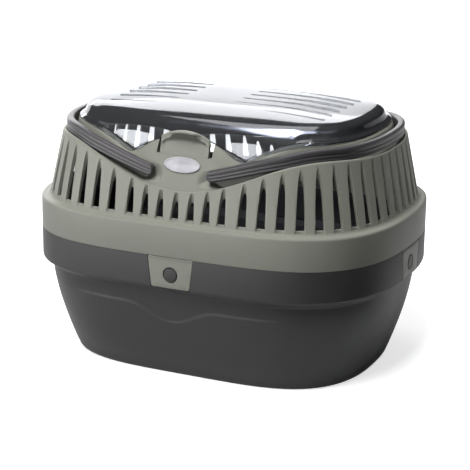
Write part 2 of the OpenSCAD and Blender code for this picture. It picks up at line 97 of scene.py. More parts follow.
# %% [markdown]
# Every main piece follows one oval plan, so that plan comes first: a superellipse that is
# squarer at the ends, walked by running length from the front centre. A drawn curve would
# do too, but the formula gives any inset of itself, and a moulding's draft is just that:
# the same plan, drawn in a little more at each level.


# %% The plan and the heights that follow it
def plan(ix, iy, t):
    """Points of the plan at the angles t, drawn in by ix at the ends and iy at the sides."""
    c, s = np.cos(t), np.sin(t)
    x = (body_l / 2 - ix) * np.sign(c) * np.abs(c) ** 0.5
    y = (body_w / 2 - iy) * np.sign(s) * np.abs(s) ** 0.8
    return x, y


fine = np.pi / 2 * (1 - np.linspace(0, 1, 1201) ** 2)
fine_x, fine_y = plan(0, 0, fine)
fine_s = np.concatenate([[0], np.cumsum(np.hypot(np.diff(fine_x), np.diff(fine_y)))])
quarter = fine_s[-1]
print("a quarter of the outline runs", round(float(quarter), 1), "mm")


def angle_at(s):
    """Plan angle at running length s: front centre, right end, rear, left end."""
    s = np.mod(s, 4 * quarter)
    part = np.where(s > 2 * quarter, 4 * quarter - s, s)
    near = np.where(part > quarter, 2 * quarter - part, part)
    t = np.interp(near, fine_s, fine)
    t = np.where(part > quarter, t, -t)
    return np.where(s > 2 * quarter, np.pi - t, t)


def shoulder_z(x):
    """The shoulder waves: low at the front and rear, high at the ends."""
    return low_z + (high_z - low_z) * np.sin(np.pi / 2 * np.abs(x) / crest_x) ** 2


def rim_top(x):
    """The rim rises to the latch panel in the middle and to the ends, with a dip between."""
    x = np.abs(x)
    panel = dip_z + (panel_z - dip_z) * np.cos(np.pi / 2 * np.minimum(x / dip_x, 1))
    side = dip_z + (rim_z - dip_z) * np.sin(np.pi / 2 * np.clip((x - dip_x) / rim_run, 0, 1))
    return np.where(x < dip_x, panel, side)


def wall_inset(z):
    return ledge_w + wall_lean * (z - ledge_z)


def shoulder_at(t):
    return shoulder_z(plan(wall_inset(low_z), wall_inset(low_z), t)[0])


def ring(ix, iy, z, t):
    x, y = plan(ix, iy, t)
    return np.stack([x, y, np.broadcast_to(z, x.shape)], -1).astype(float)


def flat_ring(inset, z, t):
    return ring(inset, inset, z, t)


def shoulder_ring(off, up, t):
    z = shoulder_at(t)
    inset = wall_inset(z) + off
    return ring(inset, inset, z + up, t)


def crown_share(x):
    return np.sin(np.pi / 2 * np.clip((np.abs(x) - dip_x) / rim_run, 0, 1))


def crown_ring(off, up, t):
    """Where the wall behind the handle turns in towards the rim. It leans in more at the ends."""
    base = wall_inset(shoulder_at(t))
    share = crown_share(plan(base + gutter_in, base + gutter_in, t)[0])
    inset = base + gutter_in + 0.4 + 2 * share + off
    z = ledge_z + crown_low + (rim_z - ledge_z - crown_edge - crown_low) * share + up
    return ring(inset, inset, z, t)


def rim_ring(ix, iy, up, t, least=0.0):
    x, y = plan(ix, iy, t)
    return np.stack([x, y, np.maximum(rim_top(x) + up, least)], -1)


def smoothstep(a, b, x):
    u = np.clip((x - a) / (b - a), 0, 1)
    return u * u * (3 - 2 * u)


# %% [markdown]
# A moulding has no knife edges. Bevel modifiers could round them, but one radius rarely
# suits a whole shell. Here each corner ring of a section is rounded by its own radius, so
# all shells are drawn by their corners alone, and the skin goes over the rounded rings.


# %% Rounding and lofting
def rounded(rings, radii, steps=4, closed=False):
    """The rings with each corner replaced by an arc. Works on all columns at once."""
    m = len(rings)
    out = []
    for k in range(m):
        p = rings[k]
        if radii[k] <= 0 or (not closed and k in (0, m - 1)):
            out.append(p)
            continue
        before = rings[(k - 1) % m] - p
        after = rings[(k + 1) % m] - p
        len_a = np.linalg.norm(before, axis=1, keepdims=True) + 1e-9
        len_b = np.linalg.norm(after, axis=1, keepdims=True) + 1e-9
        a = p + before / len_a * np.minimum(radii[k], 0.48 * len_a)
        b = p + after / len_b * np.minimum(radii[k], 0.48 * len_b)
        for u in np.linspace(0, 1, steps + 1):
            out.append((1 - u) ** 2 * a + 2 * u * (1 - u) * p + u**2 * b)
    return out


def mesh_object(name, points, faces, smooth_angle=35):
    """An object of points in mm: doubles merged, faces turned outwards, gentle edges smooth."""
    mesh = bpy.data.meshes.new(name)
    mesh.from_pydata([tuple(p) for p in np.asarray(points) * MM], [], faces)
    work = bmesh.new()
    work.from_mesh(mesh)
    bmesh.ops.remove_doubles(work, verts=work.verts, dist=2e-6)
    bmesh.ops.recalc_face_normals(work, faces=work.faces)
    work.to_mesh(mesh)
    work.free()
    return smooth(placed(name, mesh), smooth_angle)


def placed(name, data):
    """An object in the scene, at the origin, with this mesh, light or camera."""
    thing = bpy.data.objects.new(name, data)
    bpy.context.scene.collection.objects.link(thing)
    return thing


def smooth(thing, angle=35):
    thing.data.shade_smooth()
    thing.data.set_sharp_from_angle(angle=math.radians(angle))
    return thing


def loft(name, rings, ends="caps", smooth_angle=35):
    """Skin over rings. ends: tube joins last to first, caps closes both with a middle point."""
    m, n = len(rings), len(rings[0])
    points = np.concatenate(rings)
    faces = []
    for k in range(m if ends == "tube" else m - 1):
        a, b = k * n, (k + 1) % m * n
        for i in range(n):
            j = (i + 1) % n
            faces.append((a + i, a + j, b + j, b + i))
    if ends == "caps":
        points = np.concatenate([points, [rings[0].mean(0)], [rings[-1].mean(0)]])
        last = (m - 1) * n
        for i in range(n):
            j = (i + 1) % n
            faces.append((i, m * n, j))
            faces.append((last + i, last + j, m * n + 1))
    return mesh_object(name, points, faces, smooth_angle)


def joined(name, things, smooth_angle=35):
    """One object of several, in the first one's place."""
    work = bmesh.new()
    for thing in things:
        work.from_mesh(thing.data)
        bpy.data.objects.remove(thing, do_unlink=True)
    mesh = bpy.data.meshes.new(name)
    work.to_mesh(mesh)
    work.free()
    return smooth(placed(name, mesh), smooth_angle)


def applied(thing, smooth_angle=35):
    """Makes what the modifiers show the object's own mesh."""
    seen = thing.evaluated_get(bpy.context.evaluated_depsgraph_get())
    mesh = bpy.data.meshes.new_from_object(seen)
    thing.modifiers.clear()
    thing.data = mesh
    mesh.name = thing.name
    return smooth(thing, smooth_angle)


def carved(thing, cutter, operation="DIFFERENCE"):
    """Takes the cutter from the thing, or adds it, and removes the cutter."""
    step = thing.modifiers.new("carve", "BOOLEAN")
    step.operation = operation
    step.solver = "MANIFOLD"
    step.object = cutter
    applied(thing)
    bpy.data.objects.remove(cutter, do_unlink=True)
    return thing


def outline_slab(name, outline, low, high, axes="xz", edge=0.0, steps=3):
    """A slab with a closed outline in x and z or y and z, from low to high along the third."""
    outline = np.asarray(outline, float)
    levels = [(low, 0), (high, 0)]
    if edge:
        turns = np.linspace(0, math.pi / 2, steps + 1)
        arc = [(edge * (math.sin(a) - 1), edge * (1 - math.cos(a))) for a in turns]
        levels = [(low + up, out) for out, up in arc] + [(high - up, out) for out, up in arc[::-1]]
    side = np.roll(outline, -1, 0) - np.roll(outline, 1, 0)
    normal = np.stack([side[:, 1], -side[:, 0]], -1)
    normal /= np.linalg.norm(normal, axis=1, keepdims=True)
    if ((outline - outline.mean(0)) * normal).sum() < 0:
        normal = -normal
    rings = []
    for level, out in levels:
        flat = outline + normal * out
        fixed = np.full(len(flat), level)
        order = (flat[:, 0], fixed, flat[:, 1]) if axes == "xz" else (fixed, flat[:, 0], flat[:, 1])
        rings.append(np.stack(order, -1))
    return loft(name, rings)


def disc_outline(d, cx, cz, count=48):
    a = np.linspace(0, 2 * np.pi, count, endpoint=False)
    return np.stack([cx + d / 2 * np.cos(a), cz + d / 2 * np.sin(a)], -1)


def round_corners(corners, radius, steps=6):
    """A closed outline with its corners rounded."""
    corners = np.asarray(corners, float)
    out = []
    for k in range(len(corners)):
        p = corners[k]
        a, b = corners[k - 1] - p, corners[(k + 1) % len(corners)] - p
        a = p + a / np.linalg.norm(a) * radius
        b = p + b / np.linalg.norm(b) * radius
        for u in np.linspace(0, 1, steps + 1):
            out.append((1 - u) ** 2 * a + 2 * u * (1 - u) * p + u**2 * b)
    return np.array(out)


# %% [markdown]
# Materials. Image textures would need unwrapping. These are noise on Object coordinates
# instead, so the grain has its real size and stays on the piece when it moves. A small
# class lets a shader be written as plain arithmetic.


# %% Shader arithmetic
def input_named(node, key):
    """The input that a keyword means: _1 is the second one, Base_Color the one so labelled."""
    return node.inputs[int(key[1:]) if key[1:].isdigit() else key.replace("_", " ")]


class Wire:
    """A socket of a shader tree that takes + - * with numbers and other wires."""

    def __init__(self, tree, socket):
        self.tree, self.socket = tree, socket

    def math(self, operation, first, second):
        return self.node("ShaderNodeMath", {"operation": operation}, 0, _0=first, _1=second)

    def __add__(self, other):
        return self.math("ADD", self, other)

    def __radd__(self, other):
        return self.math("ADD", other, self)

    def __sub__(self, other):
        return self.math("SUBTRACT", self, other)

    def __rsub__(self, other):
        return self.math("SUBTRACT", other, self)

    def __mul__(self, other):
        return self.math("MULTIPLY", self, other)

    def __rmul__(self, other):
        return self.math("MULTIPLY", other, self)

    def node(self, kind, settings=None, out=0, **links):
        """Adds any other node: its type, its settings first, then its values and links."""
        node = self.tree.nodes.new(kind)
        for key, value in (settings or {}).items():
            setattr(node, key, value)
        for key, value in links.items():
            spot = input_named(node, key)
            if isinstance(value, Wire):
                self.tree.links.new(value.socket, spot)
            else:
                spot.default_value = value
        return Wire(self.tree, node.outputs[out])


def new_material(name):
    """An empty material: itself, its tree, its Object coordinates and its output."""
    material = bpy.data.materials.new(name)
    material.use_nodes = True
    tree = material.node_tree
    tree.nodes.clear()
    coords = tree.nodes.new("ShaderNodeTexCoord")
    output = tree.nodes.new("ShaderNodeOutputMaterial")
    return material, tree, Wire(tree, coords.outputs["Object"]), output


def linear(*srgb):
    """Colour of 0 to 255 as shaders take it."""
    shares = [v / 255 for v in srgb]
    return (*[v / 12.92 if v < 0.04045 else ((v + 0.055) / 1.055) ** 2.4 for v in shares], 1.0)


# %% [markdown]
# The cover, tub and handles are moulded with a fine spark texture. In the light it shows as
# a soft broken gloss, with faint flow marks and a slow drift of colour. One recipe makes
# all three, since only colour, gloss and bump differ.


# %% Moulded plastic
def moulded(name, colour, variation, rough, bump=0.12, sheen=0.5):
    """Moulded plastic: fine spark texture, slow colour drift, flow marks and light scuffs."""
    material, tree, place, output = new_material(name)
    fine = place.node("ShaderNodeTexNoise", None, 0, Vector=place, Scale=1400, Detail=3.0, Roughness=0.6)
    slow = place.node("ShaderNodeTexNoise", None, 0, Vector=place, Scale=18, Detail=3.0, Roughness=0.55)
    long = place.node("ShaderNodeMapping", None, 0, Vector=place, Scale=(14.0, 14.0, 90.0))
    marks = place.node("ShaderNodeTexNoise", None, 0, Vector=long, Scale=2.0, Detail=4.0, Roughness=0.7)
    dust = place.node("ShaderNodeTexNoise", None, 0, Vector=place, Scale=260.0, Detail=2.0)
    shift = ((slow - 0.5) + (marks - 0.5) * 0.7 + (dust - 0.5) * 0.35) * variation
    light = [min(c * 1.35, 1) for c in colour[:3]] + [1]
    dark = [c * 0.7 for c in colour[:3]] + [1]
    tint = place.node("ShaderNodeMix", {"data_type": "RGBA"}, 2, Factor=shift + 0.46, _6=dark, _7=light)
    roughness = (slow - 0.5) * 0.12 + (fine - 0.5) * 0.10 + rough
    relief = place.node("ShaderNodeBump", None, 0, Strength=bump, Distance=0.0002, Height=fine)
    bsdf = place.node("ShaderNodeBsdfPrincipled", None, 0, Base_Color=tint, Roughness=roughness,
                      Normal=relief, IOR=1.5, Specular_IOR_Level=sheen)
    tree.links.new(bsdf.socket, output.inputs["Surface"])
    return material


# %% [markdown]
# The lid is clear and thin. A glass shader bends light, which costs time and darkens a thin
# shell, so here see-through and gloss are mixed by Fresnel: clear from above, a mirror at a
# flat angle. The badge is silver plastic, brushed lengthwise.


# %% Clear and silver plastic
def clear_plastic(name):
    """Clear styrene: see-through with a strong skin reflection that grows towards grazing."""
    material, tree, place, output = new_material(name)
    slow = place.node("ShaderNodeTexNoise", None, 0, Vector=place, Scale=9.0, Detail=2.0)
    fine = place.node("ShaderNodeTexNoise", None, 0, Vector=place, Scale=420.0, Detail=3.0)
    relief = place.node("ShaderNodeBump", None, 0, Strength=0.06, Distance=0.0006, Height=slow)
    edge = place.node("ShaderNodeFresnel", None, 0, IOR=1.5, Normal=relief)
    gloss = place.node("ShaderNodeBsdfGlossy", None, 0, Color=(0.95, 0.96, 1.0, 1),
                       Roughness=(fine - 0.5) * 0.04 + 0.06, Normal=relief)
    through = place.node("ShaderNodeBsdfTransparent", None, 0, Color=(0.8, 0.815, 0.83, 1))
    haze = place.node("ShaderNodeBsdfDiffuse", None, 0, Color=(0.8, 0.82, 0.85, 1))
    body = place.node("ShaderNodeMixShader", None, 0, _0=0.02, _1=through, _2=haze)
    mix = place.node("ShaderNodeMixShader", None, 0, _0=edge * 1.1, _1=body, _2=gloss)
    tree.links.new(mix.socket, output.inputs["Surface"])
    return material


def satin_silver(name):
    """Silver plastic with a fine lengthwise brushing."""
    material, tree, place, output = new_material(name)
    long = place.node("ShaderNodeMapping", None, 0, Vector=place, Scale=(1.0, 30.0, 30.0))
    brushed = place.node("ShaderNodeTexNoise", None, 0, Vector=long, Scale=90.0, Detail=4.0)
    slow = place.node("ShaderNodeTexNoise", None, 0, Vector=place, Scale=120.0, Detail=2.0)
    tint = place.node("ShaderNodeMix", {"data_type": "RGBA"}, 2, Factor=slow,
                      _6=linear(140, 140, 145), _7=linear(182, 182, 187))
    relief = place.node("ShaderNodeBump", None, 0, Strength=0.1, Distance=0.0002, Height=brushed)
    bsdf = place.node("ShaderNodeBsdfPrincipled", None, 0, Base_Color=tint, Metallic=0.3,
                      Roughness=(brushed - 0.5) * 0.2 + 0.36, Normal=relief)
    tree.links.new(bsdf.socket, output.inputs["Surface"])
    return material


# %% [markdown]
# Five materials serve all the pieces. Each colour is written as it is seen, from 0 to 255,
# and turned into the linear value that shaders take.

# %% Materials
sage = moulded("Sage grey cover plastic", linear(113, 114, 106), 0.12, 0.45, sheen=0.3)
charcoal = moulded("Charcoal tub plastic", linear(45, 45, 46), 0.16, 0.46, bump=0.16, sheen=0.28)
bail = moulded("Dark handle plastic", linear(58, 56, 58), 0.2, 0.38, bump=0.08)
clear = clear_plastic("Clear lid plastic")
silver = satin_silver("Silver badge plastic")
print("materials", [m.name for m in (sage, charcoal, bail, clear, silver)])

# %% [markdown]
# Stations round the plan. They lie closer at the front, where the panel, the badge and the
# handles' ends meet and the section changes within a few millimetres.

# %% Stations
panel_reach, panel_pitch, side_pitch = 42, 0.7, 1.9
side_s = np.arange(panel_reach, quarter, side_pitch)
half_s = np.concatenate([np.arange(0, panel_reach, panel_pitch), side_s])
front_s = np.concatenate([half_s, 2 * quarter - side_s[::-1], [2 * quarter]])
around_s = np.concatenate([front_s[:-1], [2 * quarter], (4 * quarter - front_s[1:-1])[::-1]])
t_all = angle_at(around_s)
t_tub = angle_at(np.linspace(0, 4 * quarter, 360, endpoint=False))
panel_inset = 20
x_col, y_col = plan(panel_inset, panel_inset, t_all)
near_middle = np.where(y_col < 0, np.abs(x_col), np.inf)
print(len(t_all), "stations round the cover,", len(t_tub), "round the tub")

# %% [markdown]
# The tub. Its wall leans in towards the floor, a band stands out at the top over a short
# chamfer, and a faint step runs along the front, level at the sides and dipping in the
# middle. A cube with modifiers would give none of these levels their own size, so the tub
# is a loft: rings up the outside, over the spigot and down the inside. The step is 0.7 mm
# of real relief in the rings, not bump, so it catches the light as a thin line.

# %% Tub
band_step, tub_draft, floor_round = 7.4, 19, 4
chamfer_low = band_z - chamfer_h
spigot_in = wall + 0.5
relief, wave_level, wave_dip, wave_half = 0.7, 61, 12.5, 36


def tub_inset(z):
    return band_step + tub_draft * (1 - np.clip(z / chamfer_low, 0, 1)) ** 1.5


def wave_z(x):
    """Height of the step along the front."""
    dip = np.clip(np.abs(x + 4) / wave_half, 0, 1)
    return wave_level - wave_dip * 0.5 * (1 + np.cos(np.pi * dip))


def tub_ring(z, t):
    x = plan(panel_inset, panel_inset, t)[0]
    fade = 1 - smoothstep(70, 100, np.abs(x))
    step = relief * fade * (1 - smoothstep(-0.9, 0.9, z - wave_z(x)))
    step *= smoothstep(6, 20, z)
    return flat_ring(tub_inset(z) - step, z, t)


def tub_shell():
    t = t_tub
    floor_in = tub_inset(0) + floor_round
    rings = [flat_ring(floor_in + d, 0, t) for d in (60, 30, 8)]
    corner = [flat_ring(floor_in + 2, 0, t), flat_ring(tub_inset(0), 0, t),
              flat_ring(tub_inset(9), 9, t)]
    rings += rounded(corner, [0, floor_round, 0], 6)
    rings += [tub_ring(z, t) for z in np.concatenate([np.arange(12, 44, 4), np.arange(44, 70, 1.0)])]
    spigot_z, spigot_back = tub_h + 5, spigot_in + wall
    top = [tub_ring(70, t), flat_ring(band_step, chamfer_low, t), flat_ring(0.5, band_z, t),
           flat_ring(0, band_z + 1.5, t), flat_ring(0, tub_h, t), flat_ring(spigot_in, tub_h, t),
           flat_ring(spigot_in, spigot_z, t), flat_ring(spigot_back, spigot_z, t),
           flat_ring(spigot_back, tub_h - wall, t)]
    rings += rounded(top, [0, 1.2, 0.8, 0.8, 0.35, 0.3, 0.5, 0.5, 0], 3)[1:]
    rings += [flat_ring(spigot_in, tub_h - 6, t), flat_ring(spigot_in, band_z + 1, t),
              flat_ring(band_step + wall, chamfer_low + 1, t)]
    rings += [flat_ring(tub_inset(z) + wall, z + 1, t) for z in (64, 55, 45, 35, 27, 20, 14, 10)]
    inner = [flat_ring(tub_inset(7) + wall, 8, t), flat_ring(tub_inset(0) + wall, wall, t),
             flat_ring(floor_in + 10, wall, t)]
    rings += rounded(inner, [0, 5, 0], 5)
    rings += [flat_ring(floor_in + d, wall, t) for d in (30, 60)]
    return loft("base_tub_shell", rings)


tub = tub_shell()
print("tub faces", len(tub.data.polygons))

# %% [markdown]
# The four clips hang in shallow pockets of the band. Each pocket gets a plate behind it,
# as in the moulding, and a cut with the clip's outline and a hair of clearance. The dark
# line along the clip's sides in the photograph is this clearance. One outline serves clip
# and pocket, so they always fit. A boolean makes pocket and hole, because their edges are
# sharp and lie across the rings. All four are made at the front and then turned in place.

# %% Pockets, clips and pegs
clip_t, seat_gap = 2.4, 0.3
clip_low, clip_high = band_z + 0.8, tub_h - seat_gap
clip_top_w, clip_low_w = 38, 32
peg_z, peg_d, shank_d = clip_low + 10.5, 11, 6.6
hole_d = peg_d + 1.4
pocket_d = clip_t + seat_gap


def at_side(thing, side):
    """Turns a piece made for the front to the right (1), rear (2) or left (3)."""
    out = body_w / 2 if side % 2 == 0 else body_l / 2
    turn = Matrix.Rotation(math.pi / 2 * side, 4, "Z") @ Matrix.Translation((0, -out * MM, 0))
    thing.data.transform(turn)
    return thing


def clip_outline(gap):
    return [(-clip_low_w / 2 - gap, clip_low - gap), (clip_low_w / 2 + gap, clip_low - gap),
            (clip_top_w / 2 + gap, clip_high + gap), (-clip_top_w / 2 - gap, clip_high + gap)]


plate_half = clip_top_w / 2 + 3
for side in range(4):
    plate = [(-plate_half, band_z + 1), (plate_half, band_z + 1),
             (plate_half, tub_h - 0.5), (-plate_half, tub_h - 0.5)]
    tub = carved(tub, at_side(outline_slab("plate", plate, 1.2, pocket_d + wall), side), "UNION")
for side in range(4):
    cut = outline_slab("pocket", clip_outline(seat_gap), -2, pocket_d)
    tub = carved(tub, at_side(cut, side))
tub.name = tub.data.name = "base_tub_shell"


def clip_piece(name, side):
    outline = round_corners(clip_outline(0), 1.6)
    clip = outline_slab(name, outline, 0.05, clip_t, edge=0.5)
    clip = carved(clip, outline_slab("hole", disc_outline(hole_d, 0, peg_z, 64), -2, clip_t + 2))
    # The living hinge shows as a shallow line just under the skirt
    line = [(-25, clip_high - 1.7), (25, clip_high - 1.7), (25, clip_high - 1), (-25, clip_high - 1)]
    return at_side(carved(clip, outline_slab("line", line, -1, 0.35)), side)


def peg_piece(name, side):
    head = outline_slab(name, disc_outline(peg_d, 0, peg_z, 64), 0.0, pocket_d, edge=0.8, steps=4)
    shank = outline_slab("shank", disc_outline(shank_d, 0, peg_z, 32), pocket_d - 0.5,
                         pocket_d + wall + 0.6)
    return at_side(joined(name, [head, shank]), side)


places = ["front", "right", "rear", "left"]
clips = {p: clip_piece("clip_" + p + "_shell", i) for i, p in enumerate(places)}
pegs = {p: peg_piece("peg_" + p + "_head", i) for i, p in enumerate(places)}
print(len(clips), "clips", clip_top_w, "mm wide, pegs", peg_d, "mm across")

# %% [markdown]
# The cover is one moulding. Its section is carried round the plan: skirt, ledge, leaning
# wall, rounded shoulder, gutter for the handles, crown and rim. In front of the opening
# the gutter gives way to a smooth panel that leans back to the latch. Two parts joined
# there would show a seam, so the same corners slide from one drawing to the other: each
# corner is a mix of its place in the gutter and its place on the panel.


# %% Cover shell
def pad_y(z):
    return pad_foot_y + (z - pad_low_z) * (lip_y - pad_foot_y) / (root_z - pad_low_z)


def cover_corners(t):
    """The cover's section as corner rings, each with its radius."""
    x = plan(panel_inset, panel_inset, t)[0]
    in_pad, under, above = [(1 - smoothstep(start, end, near_middle))[:, None]
                            for start, end in ((13.5, 21), (23, 36), (22, 42))]

    def pad_point(up, deep=0.0):
        """A ring on the pad, this far up from its foot and this deep behind its face."""
        z = pad_low_z + up
        return np.stack([x, np.full_like(x, pad_y(z) + deep), np.full_like(x, z)], -1)

    def mixed(a, b, w):
        return a * (1 - w) + b * w

    foot = shoulder_ring(gutter_in, -gutter_d, t)
    crown = crown_ring(0, 0, t)
    slope = crown + (rim_ring(rim_x, rim_y, 0, t) - crown) * 0.4
    corners = [
        (flat_ring(0, tub_h, t), 0.4),
        (flat_ring(0, ledge_z, t), 2.2),
        (flat_ring(ledge_w, ledge_z, t), 2.6),
        (shoulder_ring(0, 0, t), 1.5),
        (mixed(shoulder_ring(1.9, 0, t), shoulder_ring(2.0, -0.1, t), under), 0.9),
        (mixed(shoulder_ring(2.6, -gutter_d, t), shoulder_ring(2.9, -0.5, t), under), 0.8),
        (mixed(shoulder_ring(5.2, -gutter_d, t), pad_point(3), under), 1.2),
        (mixed(shoulder_ring(8.0, -gutter_d, t), pad_point(5.6), under), 0.6),
        (mixed(foot, mixed(shoulder_ring(gutter_in, 5.6, t), pad_point(8.5), in_pad), under), 0.8),
        (mixed(foot + (crown - foot) * 0.7, pad_point(13), in_pad), 2.0),
        (mixed(crown, pad_point(19), above), 2.5),
        (mixed(slope, pad_point(27), above), 0),
        (rim_ring(rim_x, rim_y, 0, t), 0.8),
        (rim_ring(rim_x + wall, rim_y + wall, 0, t), 0.8),
        (mixed(crown_ring(wall, -wall / 2, t), pad_point(22, 2.5), in_pad), 1),
        (mixed(shoulder_ring(gutter_in + wall, -gutter_d - wall, t), pad_point(10, 3), in_pad), 1),
        (mixed(shoulder_ring(gutter_edge + 2, -gutter_d - wall, t), pad_point(-1, 3), in_pad), 1),
        (shoulder_ring(wall, -gutter_d - wall - 0.3, t), 0.6),
        (flat_ring(ledge_w + wall, ledge_z - wall, t), 1),
        (flat_ring(wall, ledge_z - wall - 1, t), 1),
        (flat_ring(wall, tub_h, t), 0.3),
    ]
    return zip(*corners)


corner_rings, corner_radii = cover_corners(t_all)
cover = loft("top_cover_shell", rounded(corner_rings, corner_radii, 4, closed=True), "tube")
print("cover faces before cutting", len(cover.data.polygons))

# %% [markdown]
# The vents repeat along the ledge: seven short ones at the front and rear, longer ones
# round the ends. Each is an upright oval groove that runs out on the leaning wall and
# breaks through where the groove is deeper than the wall is thick. First come their places,
# by running length, so that each end gets a whole number of them.

# %% Vent places
short_slots, short_pitch, long_pitch = 7, 13.3, 15.8
short_w, long_w, sill = 6.0, 6.6, 2.4
slot_reach, slot_lean = 0.92, 0.15
short_reach = short_pitch * (short_slots - 1) / 2
long_start = short_reach + (short_pitch + long_pitch) * 0.58
long_count = round((quarter - long_start) / long_pitch)
long_step = (quarter - long_start) / long_count
vents = []
for i in range(short_slots):
    s = short_pitch * i - short_reach
    vents += [(s, short_w), (s + 2 * quarter, short_w)]
for i in range(long_count + 1):
    s = long_start + long_step * i
    vents += [(s, long_w), (2 * quarter + s, long_w)]
    if i < long_count:
        vents += [(2 * quarter - s, long_w), (4 * quarter - s, long_w)]
vent_s = np.array([v[0] for v in vents])
vent_w = np.array([v[1] for v in vents])
vent_t = angle_at(vent_s)
vent_rise = slot_reach * (shoulder_at(vent_t) - ledge_z - sill)
print(len(vents), "vents")


# %% [markdown]
# An array modifier can't follow the oval or give each vent its own height. Geometry Nodes
# can: a point for each vent carries its turn and size, one unit cutter stands on every
# point, and a boolean takes them all from the shell at once. The class below writes such
# trees one node at a time. Every tree ends in Realize Instances and Set Material.


# %% Tree helpers
class Tree:
    """A Geometry Nodes tree on an object, written one node at a time."""

    def __init__(self, name):
        self.tree = bpy.data.node_groups.new(name, "GeometryNodeTree")
        self.tree.interface.new_socket("Geometry", in_out="INPUT", socket_type="NodeSocketGeometry")
        self.tree.interface.new_socket("Geometry", in_out="OUTPUT", socket_type="NodeSocketGeometry")
        self.given = self.tree.nodes.new("NodeGroupInput")
        self.result = self.tree.nodes.new("NodeGroupOutput")
        self.values = {}

    def ask(self, name, kind, value):
        """A named input of the tree, and the value that the modifier gives it."""
        item = self.tree.interface.new_socket(name, in_out="INPUT", socket_type=kind)
        self.values[item.identifier] = value
        return self.given.outputs[name]

    def add(self, kind, settings=None, **links):
        node = self.tree.nodes.new(kind)
        for key, value in (settings or {}).items():
            setattr(node, key, value)
        for key, value in links.items():
            if isinstance(value, bpy.types.NodeSocket):
                self.tree.links.new(value, input_named(node, key))
            else:
                input_named(node, key).default_value = value
        return node

    def on(self, thing, out, material):
        """Ends the tree, runs it on the thing and keeps the result as a plain mesh."""
        finish = self.ask("Finish", "NodeSocketMaterial", material)
        real = self.add("GeometryNodeRealizeInstances", None, Geometry=out)
        coated = self.add("GeometryNodeSetMaterial", None, Geometry=real.outputs[0], Material=finish)
        self.tree.links.new(coated.outputs[0], self.result.inputs[0])
        step = thing.modifiers.new(self.tree.name, "NODES")
        step.node_group = self.tree
        for key, value in self.values.items():
            step[key] = value
        return applied(thing)


def carried(tree, name):
    """Reads a vector that the points carry."""
    node = tree.add("GeometryNodeInputNamedAttribute", {"data_type": "FLOAT_VECTOR"}, Name=name)
    return node.outputs[0]


def carry(mesh, name, vectors):
    """Gives each point of the mesh a vector under this name."""
    store = mesh.attributes.new(name, "FLOAT_VECTOR", "POINT")
    store.data.foreach_set("vector", np.asarray(vectors, np.float32).ravel())


def squarish(tree, geometry, power):
    """Moves a unit circle's points out to |x|^power + |y|^power = 1."""
    position = tree.add("GeometryNodeInputPosition").outputs[0]
    spot = tree.add("ShaderNodeSeparateXYZ", None, Vector=position)
    total = None
    for axis in (0, 1):
        size = tree.add("ShaderNodeMath", {"operation": "ABSOLUTE"}, _0=spot.outputs[axis])
        term = tree.add("ShaderNodeMath", {"operation": "POWER"}, _0=size.outputs[0], _1=power)
        total = term if total is None else tree.add("ShaderNodeMath", {"operation": "ADD"},
                                                    _0=total.outputs[0], _1=term.outputs[0])
    grow = tree.add("ShaderNodeMath", {"operation": "POWER"}, _0=total.outputs[0], _1=-1 / power)
    wider = tree.add("ShaderNodeCombineXYZ", None, X=grow.outputs[0], Y=grow.outputs[0], Z=1.0)
    moved = tree.add("ShaderNodeVectorMath", {"operation": "MULTIPLY"},
                     _0=position, _1=wider.outputs[0])
    return tree.add("GeometryNodeSetPosition", None, Geometry=geometry,
                    Position=moved.outputs[0]).outputs[0]


# %% [markdown]
# Each vent is cut three times at the same place: a wide shallow hollow, a groove, and the
# hole itself with squarer ends. Together they give the soft run-out at the top and the
# thick rounded bars between the vents that the real moulding has.


# %% Cut the vents
def cut_ovals(name, target, width, depth, back, tilt, power):
    """Takes an oval cutter from the target at every vent. tilt leans its top outwards."""
    foot_in = wall_inset(ledge_z + sill)
    here = flat_ring(foot_in, ledge_z + sill, vent_t)
    ahead = flat_ring(foot_in, ledge_z + sill, angle_at(vent_s + 1))
    turn = np.arctan2(ahead[:, 1] - here[:, 1], ahead[:, 0] - here[:, 0])
    # The oval's middle lies a little outside the ledge line
    away = np.stack([np.sin(turn), -np.cos(turn), 0 * turn], -1)
    spots = bpy.data.meshes.new(name)
    spots.from_pydata([tuple(p) for p in (here + away * back[:, None]) * MM], [], [])
    carry(spots, "turn", np.stack([tilt, 0 * turn, turn], -1))
    tall = np.full(len(vents), high_z - ledge_z + 10.0)
    carry(spots, "size", np.stack([width / 2, depth + back, tall], -1) * MM)
    spot_object = placed(name, spots)

    cutting = Tree(name)
    places_in = cutting.ask("Places", "NodeSocketObject", spot_object)
    sides_in = cutting.ask("Oval sides", "NodeSocketInt", 40)
    places_out = cutting.add("GeometryNodeObjectInfo", {"transform_space": "ORIGINAL"},
                             Object=places_in)
    oval = cutting.add("GeometryNodeMeshCylinder", None, Vertices=sides_in, Radius=1.0, Depth=1.0)
    squared = squarish(cutting, oval.outputs["Mesh"], power)
    stood = cutting.add("GeometryNodeTransform", None, Geometry=squared, Translation=(0, 0, 0.5))
    stand = cutting.add("GeometryNodeInstanceOnPoints", None, Points=places_out.outputs["Geometry"],
                        Instance=stood.outputs[0],
                        Rotation=carried(cutting, "turn"), Scale=carried(cutting, "size"))
    real = cutting.add("GeometryNodeRealizeInstances", None, Geometry=stand.outputs[0])
    cut = cutting.add("GeometryNodeMeshBoolean", {"operation": "DIFFERENCE", "solver": "MANIFOLD"})
    cutting.tree.links.new(cutting.given.outputs[0], cut.inputs["Mesh 1"])
    cutting.tree.links.new(real.outputs[0], cut.inputs["Mesh 2"])
    target = cutting.on(target, cut.outputs["Mesh"], sage)
    bpy.data.objects.remove(spot_object, do_unlink=True)
    return target


